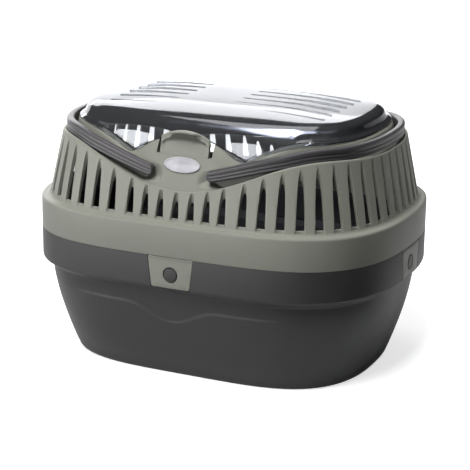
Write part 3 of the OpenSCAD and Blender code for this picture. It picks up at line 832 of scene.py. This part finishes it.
shallow, groove = np.full(len(vents), 0.75), np.full(len(vents), 1.5)
cover = cut_ovals("Vent shallows", cover, vent_w + 7.0, shallow, 4.4 * shallow,
                  -np.arctan(wall_lean - shallow / vent_rise), 2.0)
cover = cut_ovals("Vent grooves", cover, vent_w + 2.6, groove, 0.9 * groove,
                  -np.arctan(wall_lean - groove / vent_rise), 2.0)
hole_depth = (wall_lean + slot_lean) * vent_rise * 1.08
cover = cut_ovals("Vent holes", cover, vent_w, hole_depth, 0.3 * hole_depth,
                  np.full(len(vents), math.atan(slot_lean)), 2.4)
print("cover faces with vents", len(cover.data.polygons))

# %% [markdown]
# The window for the latch tongue with its two slits, the notch for the hinge, and the
# bores for the handles' pins are straight cuts with hard edges, so booleans make them.
# The two ears that carry the lid's pins stand in the rear notch.

# %% Window, notch, bores and ears
tongue_w, slit_w = 40, 3
hinge_y, hinge_z = body_w / 2 - rim_y - 0.5, panel_z - 2
hinge_span, ear_t, ear_d, pin_d = 32, 5, 7.2, 4
notch_half = hinge_span / 2 + ear_t + 5
notch_z = hinge_z - ear_d / 2 - 2
over_all, bore_d, pin_through = 230, 6.16, 60


def opening(half, z, corner):
    """Outline of a cut that is open upwards."""
    return round_corners([(-half, z), (half, z), (half, over_all), (-half, over_all)], corner, 3)


half_window = tongue_w / 2 + slit_w
cover = carved(cover, outline_slab("window", opening(half_window, root_z, 0.8), -110, -70))
cover = carved(cover, outline_slab("notch", opening(notch_half, notch_z, 1.2), 70, 110))
for way in (-1, 1):
    for y0, y1 in ((-body_w / 2, -pin_through), (pin_through, body_w / 2)):
        bore = outline_slab("bore", disc_outline(bore_d, way * pivot_x, pivot_z), y0, y1)
        cover = carved(cover, bore)
ears = []
for x0 in (-hinge_span / 2 - ear_t, hinge_span / 2):
    round_part = disc_outline(ear_d, hinge_y, hinge_z)
    top = round_part[:len(round_part) // 2 + 1]
    post = [(hinge_y - ear_d / 2, notch_z - 4), (hinge_y + ear_d / 2, notch_z - 4)]
    outline = np.concatenate([top, post])
    ears.append(outline_slab("ear", outline, x0, x0 + ear_t, axes="yz", edge=0.4))
cover = joined("top_cover_shell", [cover] + ears)
print("cover faces", len(cover.data.polygons))

# %% [markdown]
# The latch tongue carries on the panel's face between the two slits. Its top is an arched
# lip, and under the lip the face is scooped out for a fingertip. A barb behind it holds
# the lid's catch. It is small but sits in the middle of the view, so it is a skin of rows
# that run across it: each row is one level of its profile, bent to the arch.

# %% Tongue
tongue_in, tongue_top = lip_y + 4.2, root_z + 19
tongue_arch, lip_t, lip_reach, barb = 5.8, 1.5, 1.7, 1.2
half_w = tongue_w / 2
arch_r = (half_w**2 + tongue_arch**2) / (2 * tongue_arch)


def tongue_piece():
    xs = np.linspace(-half_w, half_w, 49)
    arch = tongue_top - arch_r + np.sqrt(arch_r**2 - xs**2)
    side = 1 - smoothstep(half_w - 3.5, half_w - 0.3, np.abs(xs))
    low = root_z + 0.06
    rows = []
    front_y, back_y = lip_y, tongue_in
    lip_out = lip_reach * (1 - smoothstep(6, 13, np.abs(xs)))
    # The lip's ends lie back, so that a raised handle clears them
    laid_back = 2.3 * smoothstep(8, 14, np.abs(xs))
    # Share of the height up to the lip, and how far the face lies in from the lip's face
    steps = [(0, 0.0), (0.08, 0.1), (0.16, 0.4), (0.24, 0.85), (0.32, 1.4), (0.4, 2.0),
             (0.46, 2.4), (0.52, 2.75), (0.58, 2.95), (0.64, 3.0), (0.7, 2.85), (0.76, 2.45),
             (0.82, 1.8), (0.88, 1.0), (0.94, 0.1), (0.98, -0.7), (1.0, -1.2)]
    for u, inward in steps:
        z = low + (arch - lip_t - low) * u
        y = front_y + max(inward, 0) * (0.5 + 0.5 * side) + min(inward, 0) / lip_reach * lip_out
        y = np.maximum(y, front_y + laid_back * min(max((u - 0.55) / 0.3, 0), 1))
        rows.append(np.stack([xs, y, z], -1))
    for du, dy in [(0.3, 0.0), (1.0, 0.0), (1.4, 0.15), (1.6, 0.5), (1.7, 1.0)]:
        rows.append(np.stack([xs, front_y - lip_out + laid_back + dy, arch - lip_t + du], -1))
    level = np.ones_like(xs)
    barb_rows = [(-1.0, arch), (-0.3, arch - 0.2), (0, arch - 0.9), (0, level * (root_z + 10.4)),
                 (barb, level * (root_z + 9.6)), (barb, level * (root_z + 8.6)),
                 (0, level * (root_z + 7.6)), (0, level * low)]
    for dy, z in barb_rows:
        rows.append(np.stack([xs, level * (back_y + dy), z], -1))
    m, n = len(rows), len(xs)
    points = np.concatenate(rows)
    faces = []
    for k in range(m):
        a, b = k * n, (k + 1) % m * n
        for i in range(n - 1):
            faces.append((a + i, a + i + 1, b + i + 1, b + i))
    faces.append([k * n for k in range(m)])
    faces.append([k * n + n - 1 for k in range(m)][::-1])
    return mesh_object("latch_tongue_shell", points, faces, 40)


tongue = tongue_piece()
print("tongue", tongue_w, "by", round(float(tongue_top - root_z), 1), "mm")

# %% [markdown]
# The lid is a clear shell: a flange that laps the rim, a wall, a wide bevel at the front
# and rear, and a low dome. Solidify could give a sheet its thickness, but a clear part
# shows its inside, so the inside is drawn as rings of its own, with its own softer corners.

# %% Lid shell
lid_t, lid_edge_z, lid_dome = 1.8, rim_z + 10.1, 5.8
lid_wall_z = rim_z + 1.5
edge_x, edge_y = 34, 42
dome_half_x, dome_half_y = body_l / 2 - edge_x, body_w / 2 - edge_y
# How far in a ring lies (0 at the edge, 1 in the middle), and its share of the dome's height
dome_u = np.array([0, 0.06, 0.178, 0.3, 0.452, 0.62, 0.8, 1.0])
dome_v = np.array([0, 0.15, 0.4, 0.64, 0.86, 0.96, 0.995, 1.0])
dome_first, dome_steps = 0.178, (0.24, 0.34, 0.46, 0.6, 0.76, 0.9)
t_lid = angle_at(np.linspace(0, 4 * quarter, 320, endpoint=False))


def dome_ring(u, down, t):
    """A ring of the dome at the share u of the way in to its middle."""
    ix, iy = edge_x + u * dome_half_x, edge_y + u * dome_half_y
    z = lid_edge_z - down + lid_dome * np.interp(u, dome_u, dome_v)
    return ring(ix, iy, z, t)


def lid_outside(t):
    """From the foot on the rim, round the flange, up the wall and over the dome."""
    foot_up = 0.4

    def at_rim(ix, iy, up):
        """A ring near the rim. The flange fades out beside the latch and the hinge."""
        x, y = plan(rim_x, rim_y, t)
        foot = np.stack([x, y, rim_top(x) + foot_up], -1)
        x_out, y_out = plan(rim_x + ix, rim_y + iy, t)
        out = np.stack([x_out, y_out, rim_top(x) + up], -1)
        return foot + (out - foot) * smoothstep(25, 38, np.abs(x))[:, None]

    corners = [
        rim_ring(rim_x + 0.8, rim_y + 0.8, foot_up, t),
        rim_ring(rim_x + 0.3, rim_y + 0.3, foot_up, t),
        at_rim(-2.9, -1.6, -1.6),
        at_rim(-3.1, -1.8, -0.6),
        at_rim(-0.4, 0.2, 1.3),
        rim_ring(rim_x + 0.6, rim_y + 2.2, 2.4, t, lid_wall_z),
        ring(edge_x, edge_y, lid_edge_z, t),
        dome_ring(dome_first, 0, t),
    ]
    radii = [0, 0, 0.3, 0.5, 1.0, 5.0, 9.0, 0]
    return rounded(corners, radii, 6) + [dome_ring(u, 0, t) for u in dome_steps]


def lid_inside(t):
    """The same way on the inside, one wall's thickness in. The flange has no inside."""
    d = lid_t
    corners = [
        rim_ring(rim_x + 1.9, rim_y + 1.9, 0.6, t),
        rim_ring(rim_x + 0.6 + d, rim_y + 2.2 + d, 2.4, t, lid_wall_z - d / 2),
        ring(edge_x + d, edge_y + d, lid_edge_z - d, t),
        dome_ring(dome_first, d, t),
    ]
    return rounded(corners, [0, 4.0, 8.0, 0], 6) + [dome_ring(u, d, t) for u in dome_steps]


lid = loft("lid_shell", lid_inside(t_lid)[::-1] + lid_outside(t_lid))
print("lid faces", len(lid.data.polygons))

# %% [markdown]
# The small parts of the lid's moulding: room for the ears, the hinge barrel with its web
# and pin, and the catch that hooks behind the tongue's barb. They are slabs with rounded
# edges, joined into the lid's mesh, because they are one moulding with it.

# %% Hinge and catch
hinge_gap = 0.4
barrel_half = hinge_span / 2 - hinge_gap
room_back, room_front, room_top = hinge_y + 5, hinge_y - 4.6, hinge_z + 4.6
for way in (-1, 1):
    x_mid, room_half = way * (hinge_span + ear_t) / 2, ear_t / 2 + hinge_gap
    room = outline_slab("room", [(room_front, notch_z), (room_back, notch_z),
                                 (room_back, room_top), (room_front, room_top)],
                        x_mid - room_half, x_mid + room_half, axes="yz")
    lid = carved(lid, room)
catch_half = (tongue_w - 8) / 2
face_y, hook_y = -body_w / 2 + rim_y + 0.3, tongue_in + 0.4
tab_low, hook_low, hook_top, tab_top = root_z + 3, root_z + 6.2, root_z + 7.2, root_z + 15.2
catch = outline_slab("catch", [(face_y + lid_t, tab_low), (face_y, tab_low), (hook_y, hook_low),
                               (hook_y, hook_top), (face_y, hook_top), (face_y, tab_top),
                               (face_y + lid_t, tab_top)], -catch_half, catch_half, axes="yz")
barrel = outline_slab("barrel", disc_outline(ear_d, hinge_y, hinge_z), -barrel_half, barrel_half,
                      axes="yz", edge=0.5)
web = outline_slab("web", [(hinge_y - lid_t, hinge_z), (hinge_y, hinge_z),
                           (hinge_y, lid_wall_z), (hinge_y - lid_t, lid_wall_z)],
                   -barrel_half, barrel_half, axes="yz")
pin = outline_slab("pin", disc_outline(pin_d, hinge_y, hinge_z), -hinge_span / 2 - ear_t,
                   hinge_span / 2 + ear_t, axes="yz", edge=0.3)
lid = joined("lid_shell", [lid, catch, barrel, web, pin], 30)

# %% [markdown]
# Two groups of fine ribs stand on the dome with a plain strip between them. Each is a path
# on the dome's surface, and Geometry Nodes sweep a round bead along all the paths at once.
# The bead is half sunk in the dome, so it shows as a low rounded ridge.

# %% Lid ribs
ribs_left, ribs_right = (-86, -34), (12, 92)
shift_left, shift_right = 9, 4
rib_pitch, rib_count, rib_r, rib_sunk = 15.5, 6, 0.9, 0.45


def dome_z(x, y):
    """Height of the dome's outside, by the share of the way in to the middle."""
    px, py = np.abs(x) / dome_half_x, np.abs(y) / dome_half_y
    u = 1 - np.clip((px**4 + py**2.5) ** 0.32, 0, 1)
    return lid_edge_z + lid_dome * np.interp(u, dome_u, dome_v)


rib_points, rib_edges = [], []
for k in range(rib_count):
    for (x0, x1), shift in ((ribs_left, shift_left), (ribs_right, shift_right)):
        y = (k - (rib_count - 1) / 2) * rib_pitch - shift
        reach = (dome_half_x - 10) * (1 - (abs(y) / (dome_half_y - 4)) ** 2.5) ** 0.25
        xs = np.linspace(max(x0, -reach), min(x1, reach), 40)
        start = len(rib_points)
        rib_points += [(x, y, dome_z(x, y) - rib_sunk) for x in xs]
        rib_edges += [(start + i, start + i + 1) for i in range(len(xs) - 1)]
rib_mesh = bpy.data.meshes.new("lid_ribs")
rib_mesh.from_pydata([tuple(np.array(p) * MM) for p in rib_points], rib_edges, [])
lid_ribs = placed("lid_ribs", rib_mesh)
ribbing = Tree("Lid ribs")
rib_radius = ribbing.ask("Rib radius", "NodeSocketFloat", rib_r * MM)
rib_sides = ribbing.ask("Sides", "NodeSocketInt", 12)
path = ribbing.add("GeometryNodeMeshToCurve")
ribbing.tree.links.new(ribbing.given.outputs[0], path.inputs["Mesh"])
bead = ribbing.add("GeometryNodeCurvePrimitiveCircle", None, Resolution=rib_sides,
                   Radius=rib_radius)
swept = ribbing.add("GeometryNodeCurveToMesh", None, Curve=path.outputs[0],
                    Profile_Curve=bead.outputs[0], Fill_Caps=True)
lid_ribs = ribbing.on(lid_ribs, swept.outputs[0], clear)
print("rib faces", len(lid_ribs.data.polygons))

# %% [markdown]
# The two bails follow the gutter in plan and climb towards the ends on their own line.
# The section is a rounded bar with two grooves along its outer side. At the pivots the bar
# ends in a half round about the pin. A curve with a bevel would twist the section and keep
# one size all along. Here the section stays upright and gets lower towards the pivots, so
# every station sets its own. The left bail is the right one mirrored.

# %% Handles
handle_w, handle_h, handle_off = 5.4, 10.4, 2.4
handle_end_x = body_l / 2 - wall_inset(high_z) - handle_off - handle_w / 2
end_r, end_power, end_lift, bail_rise = 3.8, 2.4, 1.7, 21.4
end_slim, slim_run = 0.16, 22
groove_at, groove_half, groove_d = (-2.3, 0.6), 0.55, 0.32
bail_pin_d, pin_in, pin_out = 6, 91.7, 97.5


def handle_height(t):
    """Height of the bar's middle. It never sinks into the shoulder below it."""
    inset = wall_inset(shoulder_at(t)) + handle_off
    x = plan(inset, inset, t)[0]
    share = np.clip((np.abs(x) - pivot_x) / (handle_end_x - pivot_x), 0, 1)
    rise = pivot_z + end_lift * (1 - share) ** 5 + bail_rise * np.sin(np.pi / 2 * share)
    return np.maximum(rise, shoulder_at(t) - gutter_d + 0.4 + handle_h / 2)


def handle_section():
    """Outline of the bar in mm: depth from its outer side, and height from its middle."""
    w, a = handle_w, handle_h / 2
    outline = round_corners([(0, -a), (w, -a), (w, a), (0, a)], 2.0, 5)
    out = []
    for k in range(len(outline)):
        p, q = outline[k], outline[(k + 1) % len(outline)]
        count = max(int(np.linalg.norm(q - p) / 0.35), 1)
        out += [p + (q - p) * i / count for i in range(count)]
    out = np.array(out)
    for z in groove_at:
        near = np.exp(-(((out[:, 1] - z) / groove_half) ** 2)) * (out[:, 0] < 0.5)
        out[:, 0] += groove_d * near
    return out


def handle_stations():
    """Running lengths along the bar: close together at the rounded ends."""
    ends = pivot_x - end_r + end_r * (1 - np.cos(np.linspace(0.02, np.pi / 2, 12)))
    start = angle_at(np.array([pivot_x]))
    inset = wall_inset(shoulder_at(start))[0] + handle_off + handle_w / 2
    ends = ends * body_l / 2 / (body_l / 2 - inset)
    half_round = 2 * quarter
    body = np.arange(pivot_x + 1.5, half_round - pivot_x - 1.5, 2.2)
    body = body[(body > ends[-1] + 1) & (body < half_round - ends[-1] - 1)]
    return np.concatenate([ends, body, (half_round - ends)[::-1]])


def handle_piece(name, mirror):
    section = handle_section()
    rings = []
    for s in handle_stations():
        t = angle_at(np.array([s]))
        base = wall_inset(shoulder_at(t))[0]
        past_pin = abs(plan(base + handle_off + handle_w / 2, 0, t)[0][0]) - pivot_x
        tall = 1 - end_slim * math.exp(-max(past_pin, 0) / slim_run)
        if past_pin < 0:
            tall *= max(1 - (-past_pin / end_r) ** end_power, 0.001) ** (1 / end_power)
        narrow = 1 - 0.14 * (1 - tall) ** 2
        across = handle_w / 2 + (section[:, 0] - handle_w / 2) * narrow
        off = base + handle_off + across
        x, y = plan(off, off, np.full(len(section), t[0]))
        rings.append(np.stack([x, y, handle_height(t)[0] + section[:, 1] * tall], -1))
    parts = [loft(name, rings, smooth_angle=50)]
    for way in (-1, 1):
        y0, y1 = sorted((way * pin_out, way * pin_in))
        pin = outline_slab("pin", disc_outline(bail_pin_d, pivot_x, pivot_z), y0, y1, edge=0.4)
        parts.append(pin)
    thing = joined(name, parts, 50)
    if mirror:
        thing.data.transform(Matrix.Scale(-1, 4, (1, 0, 0)))
        thing.data.flip_normals()
    return thing


handle_right = handle_piece("handle_right_bar", False)
handle_left = handle_piece("handle_left_bar", True)
print("handle faces", len(handle_right.data.polygons))

# %% [markdown]
# The badge is a blank oval of silver plastic with a raised border. It lies on the leaning
# pad, so it is lofted flat as oval rings and then leant and moved with the pad's own slope.

# %% Badge
badge_l, badge_h = 30, 12
badge_z = (root_z + pad_low_z) / 2 + 6.6


def badge_piece():
    a = np.linspace(0, 2 * np.pi, 96, endpoint=False)
    rings = []
    # How far in from the oval's edge, and how high over the pad
    for inset, up in [(0.0, 0.0), (0.0, 0.7), (0.15, 1.0), (0.45, 1.18), (0.9, 1.2), (1.25, 1.05),
                      (1.5, 0.8), (2.2, 0.78), (4.0, 0.86), (5.4, 0.9)]:
        rings.append(np.stack([(badge_l / 2 - inset) * np.cos(a), (badge_h / 2 - inset) * np.sin(a),
                               np.full_like(a, up)], -1))
    badge = loft("badge_plate", rings, smooth_angle=30)
    lean = math.atan2(pad_y(root_z) - pad_y(pad_low_z), root_z - pad_low_z)
    place = Matrix.Translation((0, pad_y(badge_z) * MM, badge_z * MM))
    badge.data.transform(place @ Matrix.Rotation(math.pi / 2 - lean, 4, "X"))
    return badge


badge = badge_piece()
print("badge", badge_l, "by", badge_h, "mm at z", round(float(badge_z), 1))

# %% [markdown]
# Each piece gets its material, rides on the body that carries it, and stands for the CAD
# node that it replaces. The ribs ride with the lid but replace nothing.


# %% Dress the pieces
def dressed(thing, material, body, slot, *nodes):
    thing.data.materials.clear()
    thing.data.materials.append(material)
    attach(thing, body)
    if nodes:
        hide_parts(*nodes)


dressed(tub, charcoal, "tub", "tub_plastic", "base_tub")
dressed(cover, sage, "cover", "cover_plastic", "top_cover")
dressed(tongue, sage, "tongue", "cover_plastic", "latch_tongue")
dressed(lid, clear, "lid", "lid_plastic", "lid")
dressed(lid_ribs, clear, "lid", "lid_plastic")
dressed(handle_left, bail, "handle_left", "handle_plastic", "handle_left")
dressed(handle_right, bail, "handle_right", "handle_plastic", "handle_right")
dressed(badge, silver, "cover", "badge_plastic", "badge")
for place_name in places:
    dressed(clips[place_name], sage, "clip_" + place_name, "cover_plastic", "clip_" + place_name)
    dressed(pegs[place_name], charcoal, "tub", "tub_plastic", "snap_peg_" + place_name)

# %% [markdown]
# The photograph was taken on white paper that sweeps up behind the object. The camera's
# rays see the paper lit up to white. What the object sees of it is dimmer near by and
# bright far behind, because that is what the lid mirrors at a flat angle. A lamp behind
# the object could do this too, but it would lift every edge.

# %% Paper
view_turn = math.radians(24.51)


def stage_sweep():
    """A floor that bends up into a low backdrop, square to the camera's direction."""
    depth_back, height, reach, bend = 3.0, 1.2, 6.0, 1.0
    profile = [(-5.0, 0.0), (depth_back - bend, 0.0)]
    for a in np.linspace(0, math.pi / 2, 16)[1:]:
        profile.append((depth_back - bend + bend * math.sin(a), bend - bend * math.cos(a)))
    profile.append((depth_back, height))
    points = [Vector((x, y, z)) for y, z in profile for x in (-reach, reach)]
    faces = [(2 * i, 2 * i + 1, 2 * i + 3, 2 * i + 2) for i in range(len(profile) - 1)]
    mesh = bpy.data.meshes.new("floor")
    turned = Matrix.Rotation(view_turn, 4, "Z")
    mesh.from_pydata([tuple(turned @ p) for p in points], [], faces)
    mesh.shade_smooth()
    return placed("floor", mesh)


def matt(name, colour, light=None):
    """Matt paper or card with a faint grain. light builds the colour that it gives off."""
    material, tree, place, output = new_material(name)
    grain = place.node("ShaderNodeTexNoise", None, 0, Vector=place, Scale=60.0)
    given_off = light(place) if light else (0, 0, 0, 1)
    bsdf = place.node("ShaderNodeBsdfPrincipled", None, 0, Base_Color=colour,
                      Roughness=(grain - 0.5) * 0.05 + 0.9, Emission_Color=given_off,
                      Emission_Strength=1.0)
    tree.links.new(bsdf.socket, output.inputs["Surface"])
    return material


def ray_kind(place, kind):
    """1 for rays of this kind, such as Is Camera Ray, and 0 for all others."""
    path = place.tree.nodes.new("ShaderNodeLightPath")
    return Wire(place.tree, path.outputs[kind])


def ramp(place, direction, start, end, low, high):
    """Goes smoothly from low to high between two distances along a direction."""
    along = place.node("ShaderNodeVectorMath", {"operation": "DOT_PRODUCT"}, 1, _0=place,
                       _1=direction)
    return place.node("ShaderNodeMapRange", {"interpolation_type": "SMOOTHSTEP"}, 0, Value=along,
                      _1=start, _2=end, _3=low, _4=high)


paper_glow, seen_glow = 1.8, 0.66


def paper_light(place):
    """What the paper gives off: white to the camera, and bright far behind in mirrored rays."""
    to_back = (-math.sin(view_turn), math.cos(view_turn), 0)
    to_right = (math.cos(view_turn), math.sin(view_turn), 0)
    mirrored = ray_kind(place, "Is Glossy Ray") * ramp(place, to_back, 0.9, 1.9, 0.0, 1.0)
    mirrored = mirrored * ramp(place, to_right, 0.4, 0.9, 1.0, 0.1)
    share = ray_kind(place, "Is Camera Ray") * (seen_glow / paper_glow) + mirrored
    return place.node("ShaderNodeMix", {"data_type": "RGBA"}, 2, Factor=share,
                      _6=(0, 0, 0, 1), _7=(paper_glow, paper_glow, paper_glow, 1))


floor = stage_sweep()
floor.data.materials.append(matt("Pale paper", (0.62, 0.62, 0.62, 1), paper_light))

# %% [markdown]
# A studio darkens one side with black cards, and so does this one. A card lies on the floor
# at the right front, and one stands behind on the right. The camera doesn't see them.

# %% Black cards
black_card = matt("Black card", (0.01, 0.01, 0.01, 1))


def towards(turn, out, up):
    """A place in metres: turn is in degrees from the front to the left."""
    a = math.radians(turn)
    return (-math.sin(a) * out, -math.cos(a) * out, up)


def dark_card(name, corners):
    mesh = bpy.data.meshes.new(name)
    mesh.from_pydata(corners, [], [tuple(range(len(corners)))])
    mesh.materials.append(black_card)
    card = placed(name, mesh)
    card.visible_camera = card.visible_shadow = False


card_up, far_edge = 0.003, 3.0
dark_card("floor card", [towards(14, 0.28, card_up)]
          + [towards(turn, far_edge, card_up) for turn in (14, -20, -60, -105)]
          + [towards(turn, out, card_up) for turn, out in ((-105, 0.24), (-60, 0.26), (-20, 0.26))])
standing_turns, standing_out = (169, -145, -100), 1.7
dark_card("standing card", [towards(turn, standing_out, 0.24) for turn in standing_turns]
          + [towards(turn, standing_out, 2.2) for turn in standing_turns[::-1]])

# %% [markdown]
# The lights. A soft key high over the front gives the shape its shading. The lid is nearly
# a mirror, so what it shows is lit by cards of its own: the top light makes the bright strip
# on its bevel, the back card its pale top, and the low front light the white in its dips.
# A light that serves only the diffuse or only the mirrored rays leaves the other as it was.


# %% Lights
def soft_light(name, power, size, place, aim=(0, 0, 0.1), diffuse=True, gloss=True):
    lamp = bpy.data.lights.new(name, "AREA")
    lamp.energy, lamp.shape = power, "RECTANGLE"
    lamp.size, lamp.size_y = size
    thing = placed(name, lamp)
    thing.location = place
    thing.rotation_euler = (Vector(aim) - Vector(place)).to_track_quat("-Z", "Y").to_euler()
    thing.visible_camera = False
    thing.visible_diffuse, thing.visible_glossy = diffuse, gloss


soft_light("key", 78, (1.1, 0.9), towards(9, 1.0, 1.9), gloss=False)
soft_light("top", 14, (1.0, 1.2), (-0.35, 0.6, 2.0), aim=(-0.3, 0.5, 0.1))
soft_light("low front", 50, (3.4, 0.55), towards(34, 2.1, 0.33), aim=(0, 0, 0.2), diffuse=False)
soft_light("back fill", 16, (1.6, 1.2), towards(196, 1.8, 1.1), gloss=False)
soft_light("back card", 44, (2.6, 1.4), towards(150, 3.0, 1.2), aim=(0, 0, 0.2), diffuse=False)

# %% [markdown]
# The surround works as the paper does: white where the camera sees it, dim for all else,
# and a little dimmer still to the left.

# %% Surround
surround_seen, surround_dim, surround_left = 1.1, 0.12, 0.1
left_way = (-0.93, -0.3, -0.2)
world = bpy.data.worlds.new("Surround")
world.use_nodes = True
sky_tree = world.node_tree
sky = Wire(sky_tree, sky_tree.nodes.new("ShaderNodeTexCoord").outputs["Generated"])
seen = ray_kind(sky, "Is Camera Ray")
given_off = ramp(sky, left_way, 0.1, 0.9, surround_dim, surround_left)
strength = seen * surround_seen + (1 - seen) * given_off
background = sky_tree.nodes["Background"]
sky_tree.links.new(strength.socket, background.inputs["Strength"])
background.inputs["Color"].default_value = (0.97, 0.98, 1.0, 1)
bpy.context.scene.world = world
bpy.context.scene.view_settings.view_transform = "Standard"

# %% [markdown]
# The camera stands where the photographer stood. Its direction, distance and lens were
# solved once from edges whose real places are known. The lens is given in pixels of the
# photograph, and the shift moves the picture's middle to where the aim point was seen.

# %% Camera
photo_px = 470
elevation, roll = math.radians(15.54), math.radians(-0.73)
distance, focal_px, seen_x, seen_y = 1.233, 1522, 234.5, 218.4
aim_point = Vector((0, 0, 0.105))
back_way = Vector((math.sin(view_turn) * math.cos(elevation),
                   -math.cos(view_turn) * math.cos(elevation), math.sin(elevation)))
flat_right = Vector((math.cos(view_turn), math.sin(view_turn), 0))
flat_up = back_way.cross(flat_right)
cam_right = math.cos(roll) * flat_right - math.sin(roll) * flat_up
cam_up = math.sin(roll) * flat_right + math.cos(roll) * flat_up
lens = bpy.data.cameras.new("camera")
lens.sensor_width = 36
lens.lens = focal_px / photo_px * lens.sensor_width
lens.shift_x = (photo_px / 2 - seen_x) / photo_px
lens.shift_y = (seen_y - photo_px / 2) / photo_px
lens.clip_start, lens.clip_end = 0.05, 30
camera = placed("camera", lens)
camera.matrix_world = Matrix.Translation(aim_point + distance * back_way) @ Matrix(
    (cam_right, cam_up, back_way)).transposed().to_4x4()
bpy.context.scene.camera = camera
print("camera", round(distance, 3), "m away, lens", round(lens.lens, 1), "mm")
